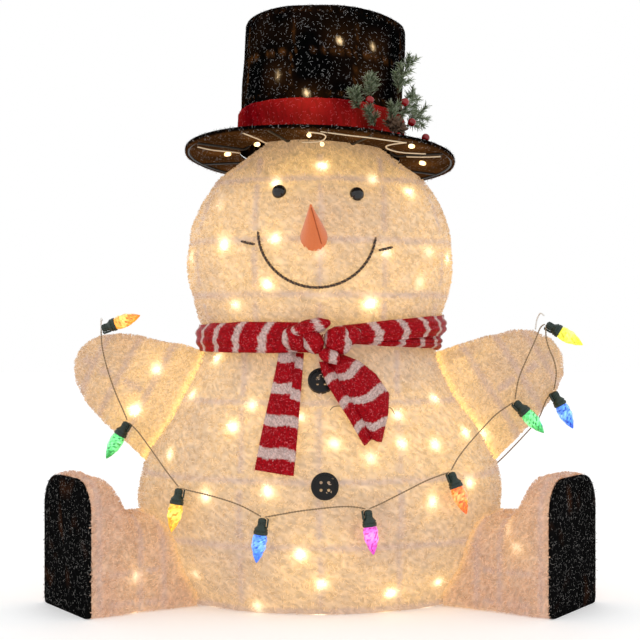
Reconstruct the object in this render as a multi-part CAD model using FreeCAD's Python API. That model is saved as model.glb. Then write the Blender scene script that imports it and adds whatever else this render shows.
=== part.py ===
"""Lighted yard snowman: wire frames under plush covers, tinsel hat, scarf and a bulb garland.

Millimetres. +Z is up, the snowman faces -Y, and the origin is the middle of the torso's flat base,
on the ground. "left" and "right" are the viewer's, so left is -X. Each node is one STEP file.
"""
import FreeCAD, Part
import math
import os

V = FreeCAD.Vector
UP = V(0, 0, 1)
ZERO = V(0, 0, 0)
SIDES = {"left": -1, "right": 1}

# ---- driving dimensions ----
WIRE_R = 1.8                 # frame wire
PIN_R = 2.0                  # plug-in prongs of the head, hat, arms and legs
PIN_GAP = 0.4                # between a prong and its socket tube
TUBE_WALL = 1.0
FABRIC = 4.0                 # backing of the plush covers
DEPTH = 0.80                 # front-to-back size of torso and head, as a share of the width
CLEAR = 0.6                  # between covers that plug together
WELD_GAP = 0.15              # between wires that cross

TORSO_TOP = 402.0
TORSO_SECTIONS = [(0, 222), (60, 258), (124, 279), (180, 282), (247, 262), (320, 220), (380, 181),
                  (TORSO_TOP, 166)]                # height, half width
HEAD_BASE = 412.0
HEAD_TOP = 733.0
HEAD_SECTIONS = [(HEAD_BASE, 170), (436, 187), (480, 202), (526, 206), (575, 201), (620, 184), (655, 157),
                 (680, 122), (705, 88), (HEAD_TOP, 54)]

BRIM_Z = 696.0
HAT_TILT_BACK = 6.0          # degrees
HAT_ROLL = 2.5               # degrees, towards +X
BRIM_R = 213.0
CROWN_R = 129.0
CROWN_TOP_R = 127.0
CROWN_HEIGHT = 208.0
BAND_HEIGHT = 60.0
BAND_THICK = 4.0
HAT_FABRIC = 4.0

ARM_ROOT = (232.0, 0.0, 300.0)
ARM_RAISE = {"left": 28.0, "right": 32.0}          # degrees above level
ARM_PROFILE = [(-36, 96, 65), (0, 94, 61), (70, 76, 54), (125, 58, 44), (152, 40, 30),
               (163, 22, 16)]                      # along the arm, half height, half depth

LEG_TURN = 32.0              # degrees forward of straight out sideways
LEG_FOOT = (-380.5, -145.0)  # middle of the left sole's lower edge
SOLE_THICK = 7.0
SOLE_WIDTH = 165.0
LEG_PROFILE = [(-175, 137, 150), (-92, 137, 152), (-72, 143, 154), (-58, 158, 157), (-48, 180, 160),
               (-36, 195, 162), (-24, 200, 164), (0, 200, 164)]   # from the sole's inner face, height, width

CORD_R = 1.3                 # the garland's twisted pair
LENS_R = 11.5
LENS_LONG = 41.0
SOCKET_NECK_R = 5.8
SOCKET_SKIRT_R = 10.0
SOCKET_NECK_LONG = 12.0
SOCKET_SKIRT_LONG = 7.5
STEM_R = 1.5
STEM_LONG = 5.0              # from the wire's line to the top of the socket
CORD_END = 3.2               # a wire stops this far from a socket's stem

EYE_R = 11.0
NOSE_R = 23.0
NOSE_LONG = 103.0
NOSE_RISE = 22.0             # degrees
ROPE_R = 2.2
BUTTON_R = 20.0
BUTTON_THICK = 6.0
BUTTON_HOLE_R = 2.2
BUTTON_HOLE_PITCH = 5.5

LED_R = 2.6
LED_LONG = 13.0
STRING_R = 0.9
LED_OFF_STRING = 3.2


# ---- helpers ----
def polar(angle, radius):
    """A level vector: angle in degrees from the front (-Y) towards +X."""
    turn = math.radians(angle)
    return V(radius * math.sin(turn), -radius * math.cos(turn), 0)


def oval_arcs(half_x, half_y):
    """End radius, side radius and both centre offsets of a four-arc oval."""
    end_r = 0.85 * half_y
    end_centre = half_x - end_r
    side_r = (end_centre ** 2 + half_y ** 2 - end_r ** 2) / (2 * (half_y - end_r))
    return end_r, side_r, end_centre, side_r - half_y


def oval(half_x, half_y, z, inset=0.0):
    """A level four-arc oval, its wall moved inwards by inset."""
    end_r, side_r, end_c, side_c = oval_arcs(half_x, half_y)
    slope = math.atan2(side_c, end_c)
    end_r -= inset
    side_r -= inset
    join = V(end_c + end_r * math.cos(slope), end_r * math.sin(slope), z)
    corners = [V(join.x, -join.y, z), join, V(-join.x, join.y, z), V(-join.x, -join.y, z)]
    mids = [V(end_c + end_r, 0, z), V(0, side_r - side_c, z), V(-end_c - end_r, 0, z), V(0, side_c - side_r, z)]
    return Part.Wire([Part.Arc(corners[i], mids[i], corners[(i + 1) % 4]).toShape() for i in range(4)])


def smooth(sections, steps=3):
    """Adds sections between the given ones, on a curve that passes through them all."""
    ends = [sections[0]] + sections + [sections[-1]]
    made = []
    for (_, a), (low, b), (high, c), (_, d) in zip(ends, ends[1:], ends[2:], ends[3:]):
        for k in range(steps):
            t = k / steps
            half = b + 0.5 * t * (c - a + t * (2 * a - 5 * b + 4 * c - d + t * (3 * (b - c) + d - a)))
            made.append((low + (high - low) * t, half))
    return made + [sections[-1]]


TORSO_PROFILE = smooth(TORSO_SECTIONS)
HEAD_PROFILE = smooth(HEAD_SECTIONS)


def profile_at(profile, z):
    """Half width of a body at a height, straight between its listed sections."""
    for (low, a), (high, b) in zip(profile, profile[1:]):
        if low <= z <= high:
            return a + (b - a) * (z - low) / (high - low)
    return profile[0][1] if z < profile[0][0] else profile[-1][1]


def on_oval(profile, angle, z, inset=0.0):
    """The point of a body's wall at a height and an angle from the front, moved inwards by inset."""
    half = profile_at(profile, z) - inset
    depth = profile_at(profile, z) * DEPTH - inset
    turn = math.radians(angle)
    return V(half * math.sin(turn), -depth * math.cos(turn), z)


def front_of(profile, x, z):
    """How far the front wall of a body stands towards -Y, at x and z."""
    half = profile_at(profile, z)
    end_r, side_r, end_c, side_c = oval_arcs(half, half * DEPTH)
    if abs(x) < end_c + end_r * math.cos(math.atan2(side_c, end_c)):
        return side_r - side_c - (side_r - math.sqrt(side_r ** 2 - x ** 2))
    return math.sqrt(max(end_r ** 2 - (abs(x) - end_c) ** 2, 0))


def body(profile, inset=0.0, low=None, high=None):
    """A solid lofted through the ovals of a profile. low and high move its end sections."""
    heights = [z for z, _ in profile]
    if low is not None:
        heights[0] = low
    if high is not None:
        heights[-1] = high
    wires = [oval(half, half * DEPTH, z, inset) for z, (_, half) in zip(heights, profile)]
    return Part.makeLoft(wires, True, False)


def rounded_path(points):
    """Straight runs joined by tangent arcs, each as large as its runs allow. Returns edges and radii."""
    edges, radii = [], []
    last = points[0]
    for before, here, after in zip(points, points[1:], points[2:]):
        run_in = here - before
        run_out = after - here
        reach = 0.45 * min(run_in.Length, run_out.Length)
        turn = run_in.getAngle(run_out)
        start = here - V(run_in).normalize() * reach
        end = here + V(run_out).normalize() * reach
        radius = reach / math.tan(turn / 2)
        towards = ((start + end) * 0.5 - here).normalize()
        centre = here + towards * math.hypot(reach, radius)
        edges.append(Part.LineSegment(last, start).toShape())
        edges.append(Part.Arc(start, centre - towards * radius, end).toShape())
        radii.append(radius)
        last = end
    edges.append(Part.LineSegment(last, points[-1]).toShape())
    return edges, radii


def sweep(edges, radius):
    """A round tube along edges that join smoothly."""
    path = Part.Wire(edges)
    start = edges[0].valueAt(edges[0].FirstParameter)
    heading = edges[0].tangentAt(edges[0].FirstParameter)
    section = Part.Wire(Part.Circle(start, heading, radius).toShape())
    return path.makePipeShell([section], True, False)


def tube(points, radius):
    """A round tube through points, its corners rounded."""
    if len(points) == 2:
        return rod(points[0], points[1], radius)
    return sweep(rounded_path(points)[0], radius)


def cord(points):
    """One run of the garland's wire. Prints its tightest bend and checks its volume."""
    edges, radii = rounded_path(points)
    made = sweep(edges, CORD_R)
    length = sum(edge.Length for edge in edges)
    expected = math.pi * CORD_R ** 2 * length
    print("cord: length %.0f, tightest radius %.0f, all radii %s, volume off by %.2f%%"
          % (length, min(radii), [round(r) for r in radii], 100 * (made.Volume / expected - 1)))
    return made


def rod(start, end, radius):
    """A straight round bar."""
    return Part.makeCylinder(radius, (end - start).Length, start, end - start)


def ring(half_x, half_y, z, radius):
    """A hoop of round wire along a four-arc oval, whose line lies on the oval."""
    return sweep(oval(half_x, half_y, z).Edges, radius)


def hoop(centre_radius, z, radius):
    """A round hoop about the Z axis."""
    return Part.makeTorus(centre_radius, radius, V(0, 0, z))


def socket_tube(start, end):
    """A short tube that a prong plugs into."""
    outer = PIN_R + PIN_GAP + TUBE_WALL
    return rod(start, end, outer).cut(rod(start, end, PIN_R + PIN_GAP))


def turned(shape, direction, place=ZERO):
    """Moves a shape made along +Z to point along direction from place."""
    made = shape.copy()
    made.Placement = FreeCAD.Placement(place, FreeCAD.Rotation(UP, direction))
    return made


def led(place, outwards):
    """One mini light: a clear capsule that points outwards."""
    capsule = Part.makeCylinder(LED_R, LED_LONG - LED_R).fuse(Part.makeSphere(LED_R, V(0, 0, LED_LONG - LED_R)))
    return turned(capsule.removeSplitter(), outwards, place)


def light_string(places):
    """A wire through all places, with a light on each. places holds pairs of point and direction."""
    wire = tube([point for point, _ in places], STRING_R)
    lights = [led(point + direction * LED_OFF_STRING, direction) for point, direction in places]
    return Part.Compound([wire] + lights)


def outwards_at(profile, angle, z):
    """The level direction that a wall faces at an angle and height."""
    here = on_oval(profile, angle, z)
    beside = on_oval(profile, angle + 1, z)
    return (beside - here).cross(UP).normalize()


def save(name, shape):
    """Writes one node, after a check that it is whole."""
    solids = shape.Solids
    if not solids or not all(solid.isValid() and solid.Volume > 0 for solid in solids):
        raise RuntimeError("%s is not made of whole solids" % name)
    shape = solids[0] if len(solids) == 1 else Part.Compound(solids)
    shape.exportStep("parts/%s.step" % name)
    print("%s: %d solids, %.0f mm3" % (name, len(solids), shape.Volume))


# ---- torso ----
TORSO_HOOPS = [10, 106, 198, 308, 392]
HOOP_INSET = FABRIC + WIRE_R + 3.0                 # from a cover's outside to the middle of a hoop's wire
UPRIGHT_INSET = HOOP_INSET + 2 * WIRE_R + 1.5
TORSO_UPRIGHT_X = 118.0
HEAD_UPRIGHT_X = 98.0
HEAD_SIDE_UPRIGHTS = [-66, 66, -114, 114]          # degrees from the front
LED_INSET = 39.0                                   # from a cover's outside to the light string
TORSO_LEDS = [
    (-48, 66), (-24, 26), (0, 60), (26, 45), (47, 54), (112, 70), (150, 60), (190, 80), (232, 100),
    (-62, 118), (-38, 174), (-16, 183), (-6, 100), (7, 124), (37, 165), (55, 187), (104, 160), (142, 175),
    (180, 160), (218, 185), (256, 200), (-59, 222), (-32, 264), (-10, 240), (5, 243), (16, 226), (28, 243),
    (42, 240), (60, 250), (118, 250), (155, 262), (200, 250), (242, 268), (-62, 306), (-27, 294), (-7, 281),
    (14, 290), (30, 280), (52, 302), (118, 318), (160, 330), (205, 322), (242, 340), (-59, 360), (-12, 367)]


def upright(profile, x, facing, heights, inset):
    """A frame wire that runs up inside the front (facing 1) or back (-1) wall, straight as seen from the front."""
    points = []
    for z in heights:
        half = profile_at(profile, z)
        angle = math.degrees(math.asin(x / half))
        points.append(on_oval(profile, angle if facing > 0 else 180 - angle, z, inset))
    return tube(points, WIRE_R)


def frame_hoops(profile, heights, inset):
    """Level frame hoops inside a body's wall."""
    made = []
    for z in heights:
        half = profile_at(profile, z)
        made.append(ring(half - inset, half * DEPTH - inset, z, WIRE_R))
    return made


def make_torso():
    cover = body(TORSO_PROFILE).cut(body(TORSO_PROFILE, FABRIC, low=FABRIC, high=TORSO_TOP + 6))
    save("torso_cover", cover.cut(prong_holes()))
    save("torso_hoops", Part.Compound(frame_hoops(TORSO_PROFILE, TORSO_HOOPS, HOOP_INSET)))
    heights = [10, 45, 92, 140, 188, 245, 300, 350, 392]
    uprights = [upright(TORSO_PROFILE, x, facing, heights, UPRIGHT_INSET)
                for x in (-TORSO_UPRIGHT_X, 0, TORSO_UPRIGHT_X) for facing in (1, -1)]
    save("torso_uprights", Part.Compound(uprights + arm_sockets() + leg_sockets()))
    places = [(on_oval(TORSO_PROFILE, a, z, LED_INSET), outwards_at(TORSO_PROFILE, a, z)) for a, z in TORSO_LEDS]
    save("torso_lights", light_string(places))


# ---- neck: four prongs on the torso's top hoop, tubes in the head ----
NECK_PIN_ANGLES = [40, 140, 220, 320]
NECK_PIN_LOW = 380.0
NECK_PIN_TOP = 470.0


def neck_point(angle, z):
    return on_oval(TORSO_PROFILE, angle, TORSO_TOP, 24) + V(0, 0, z - TORSO_TOP)


def make_neck():
    pins = [rod(neck_point(a, NECK_PIN_LOW), neck_point(a, NECK_PIN_TOP), PIN_R) for a in NECK_PIN_ANGLES]
    save("neck_posts", Part.Compound(pins))


# ---- head ----
HEAD_HOOPS = [421, 474, 553, 643]
HEAD_LEDS = [
    (-42, 464), (-24, 492), (2, 478), (23, 468), (49, 497), (95, 480), (140, 490), (185, 484), (230, 496),
    (262, 510), (-76, 532), (-47, 547), (-20, 552), (0, 531), (30, 534), (56, 537), (74, 531), (115, 548),
    (160, 560), (205, 552), (250, 570), (-56, 600), (-24, 628), (1, 650), (30, 634), (52, 616), (110, 620),
    (165, 632), (225, 625)]


def hat_frame_rotation():
    """Turns +Z to the hat's axis."""
    tilt = FreeCAD.Rotation(V(1, 0, 0), -HAT_TILT_BACK)
    roll = FreeCAD.Rotation(V(0, 1, 0), HAT_ROLL)
    return roll.multiply(tilt)


HAT_TURN = hat_frame_rotation()
HAT_PLACE = FreeCAD.Placement(V(0, 0, BRIM_Z), HAT_TURN)
HAT_PIN_R = 26.0             # circle that the hat's prongs stand on
HAT_PIN_ANGLES = [30, 150, 270]
HAT_PIN_LOW = -18.0          # below the brim's plane


def in_hat(shape):
    """Moves a shape from the hat's own frame, brim centre at the origin, to its place."""
    made = shape.copy()
    made.Placement = HAT_PLACE.multiply(made.Placement)
    return made


def make_head():
    cavity = body(HEAD_PROFILE, FABRIC, low=HEAD_BASE - 6, high=HEAD_TOP + 6)
    save("head_cover", body(HEAD_PROFILE).cut(cavity))
    save("head_hoops", Part.Compound(frame_hoops(HEAD_PROFILE, HEAD_HOOPS, HOOP_INSET)))
    heights = [422, 440, 470, 512, 556, 600, 636, 660, 676]
    uprights = [upright(HEAD_PROFILE, x, facing, heights, UPRIGHT_INSET)
                for x in (-HEAD_UPRIGHT_X, 0, HEAD_UPRIGHT_X) for facing in (1, -1)]
    uprights += [tube([on_oval(HEAD_PROFILE, angle, z, UPRIGHT_INSET) for z in heights], WIRE_R)
                 for angle in HEAD_SIDE_UPRIGHTS]
    sockets = [socket_tube(neck_point(a, 424), neck_point(a, 462)) for a in NECK_PIN_ANGLES]
    for angle in HAT_PIN_ANGLES:
        foot = polar(angle, HAT_PIN_R)
        sockets.append(in_hat(socket_tube(foot + UP * HAT_PIN_LOW, foot + UP * (HAT_PIN_LOW + 26))))
    save("head_uprights", Part.Compound(uprights + sockets))
    places = [(on_oval(HEAD_PROFILE, a, z, LED_INSET), outwards_at(HEAD_PROFILE, a, z)) for a, z in HEAD_LEDS]
    save("head_lights", light_string(places))


# ---- face ----
EYES = {"left": (-61.0, 626.0), "right": (55.0, 622.0)}
NOSE_AT = (-9.0, 558.0)
SMILE_CENTRE = (-4.5, 567.0)
SMILE_HALF_WIDTH = 88.0
SMILE_DROP = 85.0
SMILE_ROLL = 3.0             # degrees, its left end higher
DIMPLE_LONG = 20.0


def face_point(x, z, off):
    return V(x, -front_of(HEAD_PROFILE, x, z) - off, z)


def smile_points():
    """A U of even steps over the cheeks and the chin."""
    made = []
    roll = math.radians(SMILE_ROLL)
    for step in range(13):
        turn = math.radians(184 + step * 172 / 12)
        across = SMILE_HALF_WIDTH * math.cos(turn)
        down = SMILE_DROP * math.sin(turn)
        x = SMILE_CENTRE[0] + across * math.cos(roll) + down * math.sin(roll)
        z = SMILE_CENTRE[1] - across * math.sin(roll) + down * math.cos(roll)
        made.append(face_point(x, z, ROPE_R + 1.6))
    return made


def make_face():
    skin = body(HEAD_PROFILE, -0.4)
    for side, (x, z) in EYES.items():
        save("eye_" + side, Part.makeSphere(EYE_R, face_point(x, z, 0)).cut(skin))
    rise = math.radians(NOSE_RISE)
    heading = V(-0.04, -math.cos(rise), math.sin(rise))
    inside = 16.0
    cone = Part.makeCone(NOSE_R, 1.6, NOSE_LONG + inside, face_point(*NOSE_AT, 0) - heading * inside, heading)
    save("nose", max(cone.cut(skin).Solids, key=lambda solid: solid.Volume))
    smile = tube(smile_points(), ROPE_R)
    dimples = []
    for side, end in ((-1, smile_points()[0]), (1, smile_points()[-1])):
        x, z = end.x + side * (ROPE_R * 2 + 0.6), end.z - 18
        steps = [(x + side * DIMPLE_LONG * k / 2, z + (0, 1.2, 5.0)[k]) for k in range(3)]
        dimples.append(tube([face_point(px, pz, ROPE_R + 1.6) for px, pz in steps], ROPE_R))
    save("smile", Part.Compound([smile] + dimples))


# ---- coat buttons ----
BUTTONS = {"upper": (2.0, 342.0), "lower": (7.0, 194.0)}


def make_buttons():
    for name, (x, z) in BUTTONS.items():
        below = V(x, -front_of(TORSO_PROFILE, x, z - 12), z - 12)
        above = V(x, -front_of(TORSO_PROFILE, x, z + 12), z + 12)
        heading = V(1, 0, 0).cross(above - below).normalize()
        disc = Part.makeCylinder(BUTTON_R, BUTTON_THICK)
        disc = disc.cut(Part.makeCylinder(BUTTON_R - 3.5, 3, V(0, 0, BUTTON_THICK - 2)))
        for k in range(4):
            spot = polar(45 + 90 * k, BUTTON_HOLE_PITCH * math.sqrt(2))
            disc = disc.cut(Part.makeCylinder(BUTTON_HOLE_R, BUTTON_THICK, spot))
        place = V(x, -front_of(TORSO_PROFILE, x, z), z) + heading * 1.3
        save("coat_button_" + name, turned(disc, heading, place))


# ---- scarf ----
SCARF_LOW = 388.5
SCARF_HIGH = 427.0
SCARF_IN = 183.5
SCARF_OUT = 193.0
KNOT_AT = V(-3, -177, 411)
KNOT_HALF = (31.0, 16.0, 23.0)
TAIL_THICK = 7.0


def strip(places, thick):
    """A flat tail through cross sections: centre x, height, distance off the torso, width."""
    wires = []
    for x, z, off, wide in places:
        y = -front_of(TORSO_PROFILE, x, z) - off
        corners = [V(x - wide / 2, y, z), V(x + wide / 2, y, z), V(x + wide / 2, y - thick, z),
                   V(x - wide / 2, y - thick, z)]
        wires.append(Part.makePolygon(corners + corners[:1]))
    return Part.makeLoft(wires, True, True)


def make_scarf():
    outer = Part.Face(oval(SCARF_OUT, SCARF_OUT * DEPTH + 2, SCARF_LOW)).extrude(UP * (SCARF_HIGH - SCARF_LOW))
    inner = Part.Face(oval(SCARF_IN, SCARF_IN * DEPTH + 2, SCARF_LOW)).extrude(UP * (SCARF_HIGH - SCARF_LOW))
    save("scarf_wrap", outer.cut(inner))
    knot = Part.makeSphere(1.0)
    stretch = FreeCAD.Matrix()
    stretch.scale(*KNOT_HALF)
    knot = knot.transformGeometry(stretch)
    knot.translate(KNOT_AT)
    wall = Part.Face(oval(SCARF_OUT, SCARF_OUT * DEPTH + 2, SCARF_LOW - 40, -0.4)).extrude(UP * 120)
    save("scarf_knot", knot.cut(wall))
    tail_long = strip([(-46, 386, 6.5, 50), (-48, 366, 6.5, 55), (-51, 345, 6.5, 57), (-54, 318, 6.5, 58), (-57, 290, 6.5, 58),
                       (-60, 264, 6.5, 58), (-63, 238, 6.5, 58), (-66, 212, 6.5, 58)], TAIL_THICK)
    tail_short = strip([(24, 386, 13, 42), (44, 360, 15, 62), (62, 326, 16, 76), (72, 290, 13, 60), (78, 250, 11, 30)],
                       TAIL_THICK + 2)
    save("scarf_tail_long", tail_long)
    save("scarf_tail_short", tail_short)


# ---- hat ----
def hat_point(angle, radius, height):
    return HAT_PLACE.multVec(polar(angle, radius) + UP * height)


HAT_SPOKES = 8
HAT_LEDS = [
    (-88, 146, -17), (-40, 150, -19), (-6, 168, -18), (20, 160, -19), (54, 171, -18), (95, 160, -17),
    (140, 165, -17), (185, 160, -17), (230, 165, -17)]
CROWN_LEDS = [
    (-11, 104, 66), (33, 104, 96), (80, 104, 80), (140, 104, 100), (210, 104, 90), (270, 104, 84),
    (327, 104, 96), (10, 104, 150), (36, 104, 148), (100, 104, 160), (180, 104, 150), (260, 104, 160)]


def make_hat():
    crown = Part.makeCone(CROWN_R, CROWN_TOP_R, CROWN_HEIGHT)
    hollow = Part.makeCone(CROWN_R - HAT_FABRIC, CROWN_TOP_R - HAT_FABRIC, CROWN_HEIGHT - HAT_FABRIC)
    save("hat_crown", in_hat(crown.cut(hollow)))
    brim = Part.makeCylinder(BRIM_R, HAT_FABRIC, V(0, 0, -HAT_FABRIC - 0.3))
    save("hat_brim", in_hat(brim.cut(Part.makeCylinder(CROWN_R - 1.5, 20, V(0, 0, -10)))))
    band = Part.makeCylinder(CROWN_R + 0.3 + BAND_THICK, BAND_HEIGHT, V(0, 0, 1.0))
    save("hat_band", in_hat(band.cut(Part.makeCylinder(CROWN_R + 0.3, BAND_HEIGHT + 2, V(0, 0, 0)))))

    under = -HAT_FABRIC - WIRE_R - 1.0
    upright_r = CROWN_TOP_R - HAT_FABRIC - 3 * WIRE_R - 1.2
    hoop_r = upright_r + 2 * WIRE_R + WELD_GAP
    top = CROWN_HEIGHT - HAT_FABRIC - WIRE_R - 0.8
    wires = [hoop(BRIM_R - 5, under, WIRE_R)]
    wires += [hoop(hoop_r - 0.2, z, WIRE_R) for z in (70, 135, top - 5)]
    for k in range(HAT_SPOKES):
        angle = 22.5 + k * 360 / HAT_SPOKES
        spoke = [polar(angle, BRIM_R - 5 - 2 * WIRE_R - WELD_GAP) + UP * under, polar(angle, 150) + UP * under,
                 polar(angle, upright_r + 2) + UP * (under - 1), polar(angle, upright_r) + UP * 24,
                 polar(angle, upright_r) + UP * (top - 3)]
        wires.append(tube(spoke, WIRE_R))
    across = polar(22.5, upright_r - 2 * WIRE_R) + UP * (top - 8)
    wires.append(rod(across, UP * 2 * (top - 8) - across, WIRE_R))
    for angle in HAT_PIN_ANGLES:
        foot = polar(angle, HAT_PIN_R)
        wires.append(rod(foot + UP * (HAT_PIN_LOW + 2), foot + UP * (top - 11), PIN_R))
    save("hat_frame", in_hat(Part.Compound(wires)))

    under_brim = [(hat_point(a, r, h), HAT_TURN.multVec(polar(a, 1))) for a, r, h in HAT_LEDS]
    in_crown = [(hat_point(a, r, h), HAT_TURN.multVec(polar(a, 1))) for a, r, h in CROWN_LEDS]
    save("hat_lights", Part.Compound(light_string(under_brim).Solids + light_string(in_crown).Solids))


# ---- sprig on the hat band ----
SPRIG_ANGLE = 41.0
SPRIG_BASE_R = CROWN_R + BAND_THICK + 1.5
TWIGS = [(24, 46, 30, -30), (32, 66, 34, -18), (56, 84, 62, 8), (62, 50, 50, 30), (50, 22, 40, -10),
         (74, 44, 54, 55), (36, 24, 34, -48)]     # foot angle, foot height, length, lean to the right
BERRIES = [(28, 58, 12), (54, 68, 16), (60, 40, 20), (76, 26, 28)]   # angle, height, distance off the band
BERRY_R = 6.5
CONE_AT = (43, 32)
CONE_R = 12.0
CONE_LONG = 30.0


def sprig_point(angle, off, height):
    return polar(angle, SPRIG_BASE_R + off) + UP * height


def make_sprig():
    twigs = []
    for foot_angle, height, length, lean in TWIGS:
        foot = sprig_point(foot_angle, 5, height)
        lean_turn = math.radians(lean)
        side = UP.cross(polar(foot_angle, 1)) * -1
        heading = side * -math.sin(lean_turn) + UP * math.cos(lean_turn) + polar(foot_angle, 0.25)
        twigs.append(Part.makeCone(4.5, 1.0, length, foot, heading))
    save("pine_sprig", in_hat(Part.Compound(twigs)))
    berries = [Part.makeSphere(BERRY_R, sprig_point(a, off + BERRY_R, h)) for a, h, off in BERRIES]
    save("holly_berries", in_hat(Part.Compound(berries)))
    foot = sprig_point(CONE_AT[0], CONE_R + 10, CONE_AT[1])
    heading = polar(CONE_AT[0], 0.7) + UP * -0.5
    cone = Part.makeCone(CONE_R * 0.55, CONE_R, CONE_LONG * 0.4, foot, heading)
    tip_foot = foot + V(heading).normalize() * CONE_LONG * 0.4
    cone = cone.fuse(Part.makeCone(CONE_R, 2.0, CONE_LONG * 0.6, tip_foot, heading))
    save("pine_cone", in_hat(cone))


# ---- arms ----
def arm_frame(side):
    """Placement of an arm's own frame: X along the arm, Z across it, Y as the snowman's."""
    raise_by = ARM_RAISE["left" if side < 0 else "right"]
    root = V(side * ARM_ROOT[0], ARM_ROOT[1], ARM_ROOT[2])
    if side < 0:
        return FreeCAD.Placement(root, FreeCAD.Rotation(V(0, 1, 0), raise_by)), -1
    return FreeCAD.Placement(root, FreeCAD.Rotation(V(0, 1, 0), -raise_by)), 1


def arm_point(side, along, y, across):
    place, sign = arm_frame(side)
    return place.multVec(V(sign * along, y, across))


def arm_section(side, along, half_high, half_deep, inset=0.0):
    """A four-arc oval across an arm."""
    flat = oval(half_high, half_deep, 0, inset)
    place, sign = arm_frame(side)
    upright = FreeCAD.Placement(V(sign * along, 0, 0), FreeCAD.Rotation(V(0, 1, 0), 90))
    flat.Placement = place.multiply(upright)
    return flat


def arm_solid(side, inset=0.0):
    ends = [(a - (0.0 if a < 150 else inset), h, d) for a, h, d in ARM_PROFILE]
    return Part.makeLoft([arm_section(side, a, h, d, inset) for a, h, d in ends], True, False)


ARM_PINS = [-42.0, 42.0]     # across the arm
HOOK_R = 1.2
HAND_HOOKS = {
    "left": [(-347, -6, 412), (-347, -7, 428), (-345, -18, 438), (-342, -28, 433)],
    "right": [(341, -8, 419), (343, -10, 436), (347, -22, 446), (351, -32, 441)]}


def arm_sockets():
    """Tubes inside the torso that the arms' prongs plug into."""
    made = []
    for side in SIDES.values():
        for across in ARM_PINS:
            made.append(socket_tube(arm_point(side, -58, 0, across), arm_point(side, -28, 0, across)))
    return made


def make_arms():
    torso = body(TORSO_PROFILE, -CLEAR)
    for name, side in SIDES.items():
        cover = arm_solid(side).cut(arm_solid(side, FABRIC)).cut(torso)
        save("arm_cover_" + name, max(cover.Solids, key=lambda solid: solid.Volume))
        wires = []
        for along, half_high, half_deep in ((40, 85, 58), (92, 69, 49.5), (134, 53, 40.5)):
            inset = FABRIC + WIRE_R + 3.2
            wires.append(sweep(arm_section(side, along, half_high, half_deep, inset).Edges, WIRE_R))
        for across_sign, depth_sign in ((1, 0), (-1, 0), (0, -1), (0, 1)):
            inset = FABRIC + 3 * WIRE_R + 4.2
            spans = ((36, 86, 58.5), (92, 69, 49.5), (134, 53, 40.5), (148, 42, 33))
            points = [arm_point(side, a, depth_sign * (d - inset), across_sign * (h - inset)) for a, h, d in spans]
            wires.append(tube(points, WIRE_R))
        for across in ARM_PINS:
            wires.append(rod(arm_point(side, -56, 0, across), arm_point(side, 36, 0, across), PIN_R))
        wires.append(tube([V(*point) for point in HAND_HOOKS[name]], HOOK_R))
        save("arm_frame_" + name, Part.Compound(wires))


# ---- legs and boots ----
def leg_place(side):
    """Placement of a leg's own frame: X along the leg towards the sole, origin under the sole's inner face."""
    turn = LEG_TURN if side < 0 else -LEG_TURN
    rotation = FreeCAD.Rotation(UP, turn + (180 if side < 0 else 0))
    foot = V(-side * LEG_FOOT[0], LEG_FOOT[1], 0)
    made = FreeCAD.Placement(foot, rotation)
    back = made.multVec(V(-SOLE_THICK, 0, 0))
    return FreeCAD.Placement(back, rotation)


def arch(along, height, width, inset=0.0, round_share=0.30):
    """An upright arch in a leg's own frame: a flat bottom, rounded top corners."""
    half = width / 2 - inset
    low, high = inset, height - inset
    r = width * round_share - inset
    s = r * math.sqrt(0.5)
    edges = [
        Part.LineSegment(V(along, -half, low), V(along, half, low)).toShape(),
        Part.LineSegment(V(along, half, low), V(along, half, high - r)).toShape(),
        Part.Arc(V(along, half, high - r), V(along, half - r + s, high - r + s), V(along, half - r, high)).toShape(),
        Part.LineSegment(V(along, half - r, high), V(along, r - half, high)).toShape(),
        Part.Arc(V(along, r - half, high), V(along, r - half - s, high - r + s), V(along, -half, high - r)).toShape(),
        Part.LineSegment(V(along, -half, high - r), V(along, -half, low)).toShape()]
    return Part.Wire(edges)


def leg_solid(inset=0.0):
    """The leg and boot as one loft. The hollow runs out of both ends."""
    spans = [[a, h, w] for a, h, w in LEG_PROFILE]
    if inset:
        spans[0][0] -= inset
        spans[-1][0] += inset
    return Part.makeLoft([arch(a, h, w, inset) for a, h, w in spans], True, True)


def loop_arch(along, height, width, inset):
    """A closed frame loop across a leg, made as an arch with rounded corners all round."""
    wire = arch(along, height, width, inset)
    edges = []
    half = width / 2 - inset
    r = 12.0
    s = r * (1 - math.sqrt(0.5))
    low = inset
    for side in (1, -1):
        edges.append(Part.Arc(V(along, side * (half - r), low), V(along, side * (half - s), low + s),
                              V(along, side * half, low + r)).toShape())
    top_r = width * 0.30 - inset
    edges.append(Part.LineSegment(V(along, half, low + r), V(along, half, height - inset - top_r)).toShape())
    edges.append(Part.LineSegment(V(along, -half, low + r), V(along, -half, height - inset - top_r)).toShape())
    edges.append(Part.LineSegment(V(along, r - half, low), V(along, half - r, low)).toShape())
    edges += [wire.Edges[2], wire.Edges[3], wire.Edges[4]]
    return sweep(Part.__sortEdges__(edges), WIRE_R)


def prong_holes():
    """Bars that cut the torso cover where the prongs of arms and legs go through."""
    made = []
    for side in SIDES.values():
        for across in ARM_PINS:
            made.append(rod(arm_point(side, -60, 0, across), arm_point(side, 40, 0, across), PIN_R + 1.5))
        place = leg_place(side)
        for sideways in LEG_PINS:
            made.append(rod(place.multVec(V(-214, sideways, LEG_PIN_Z)),
                            place.multVec(V(-100, sideways, LEG_PIN_Z)), PIN_R + 1.5))
    return made


LEG_PINS = [-45.0, 45.0]     # sideways of the leg's middle
LEG_PIN_Z = 68.0
LEG_LOOPS = [(-118, 137, 151), (-80, 141.5, 153), (-12, 199, 164)]


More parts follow.
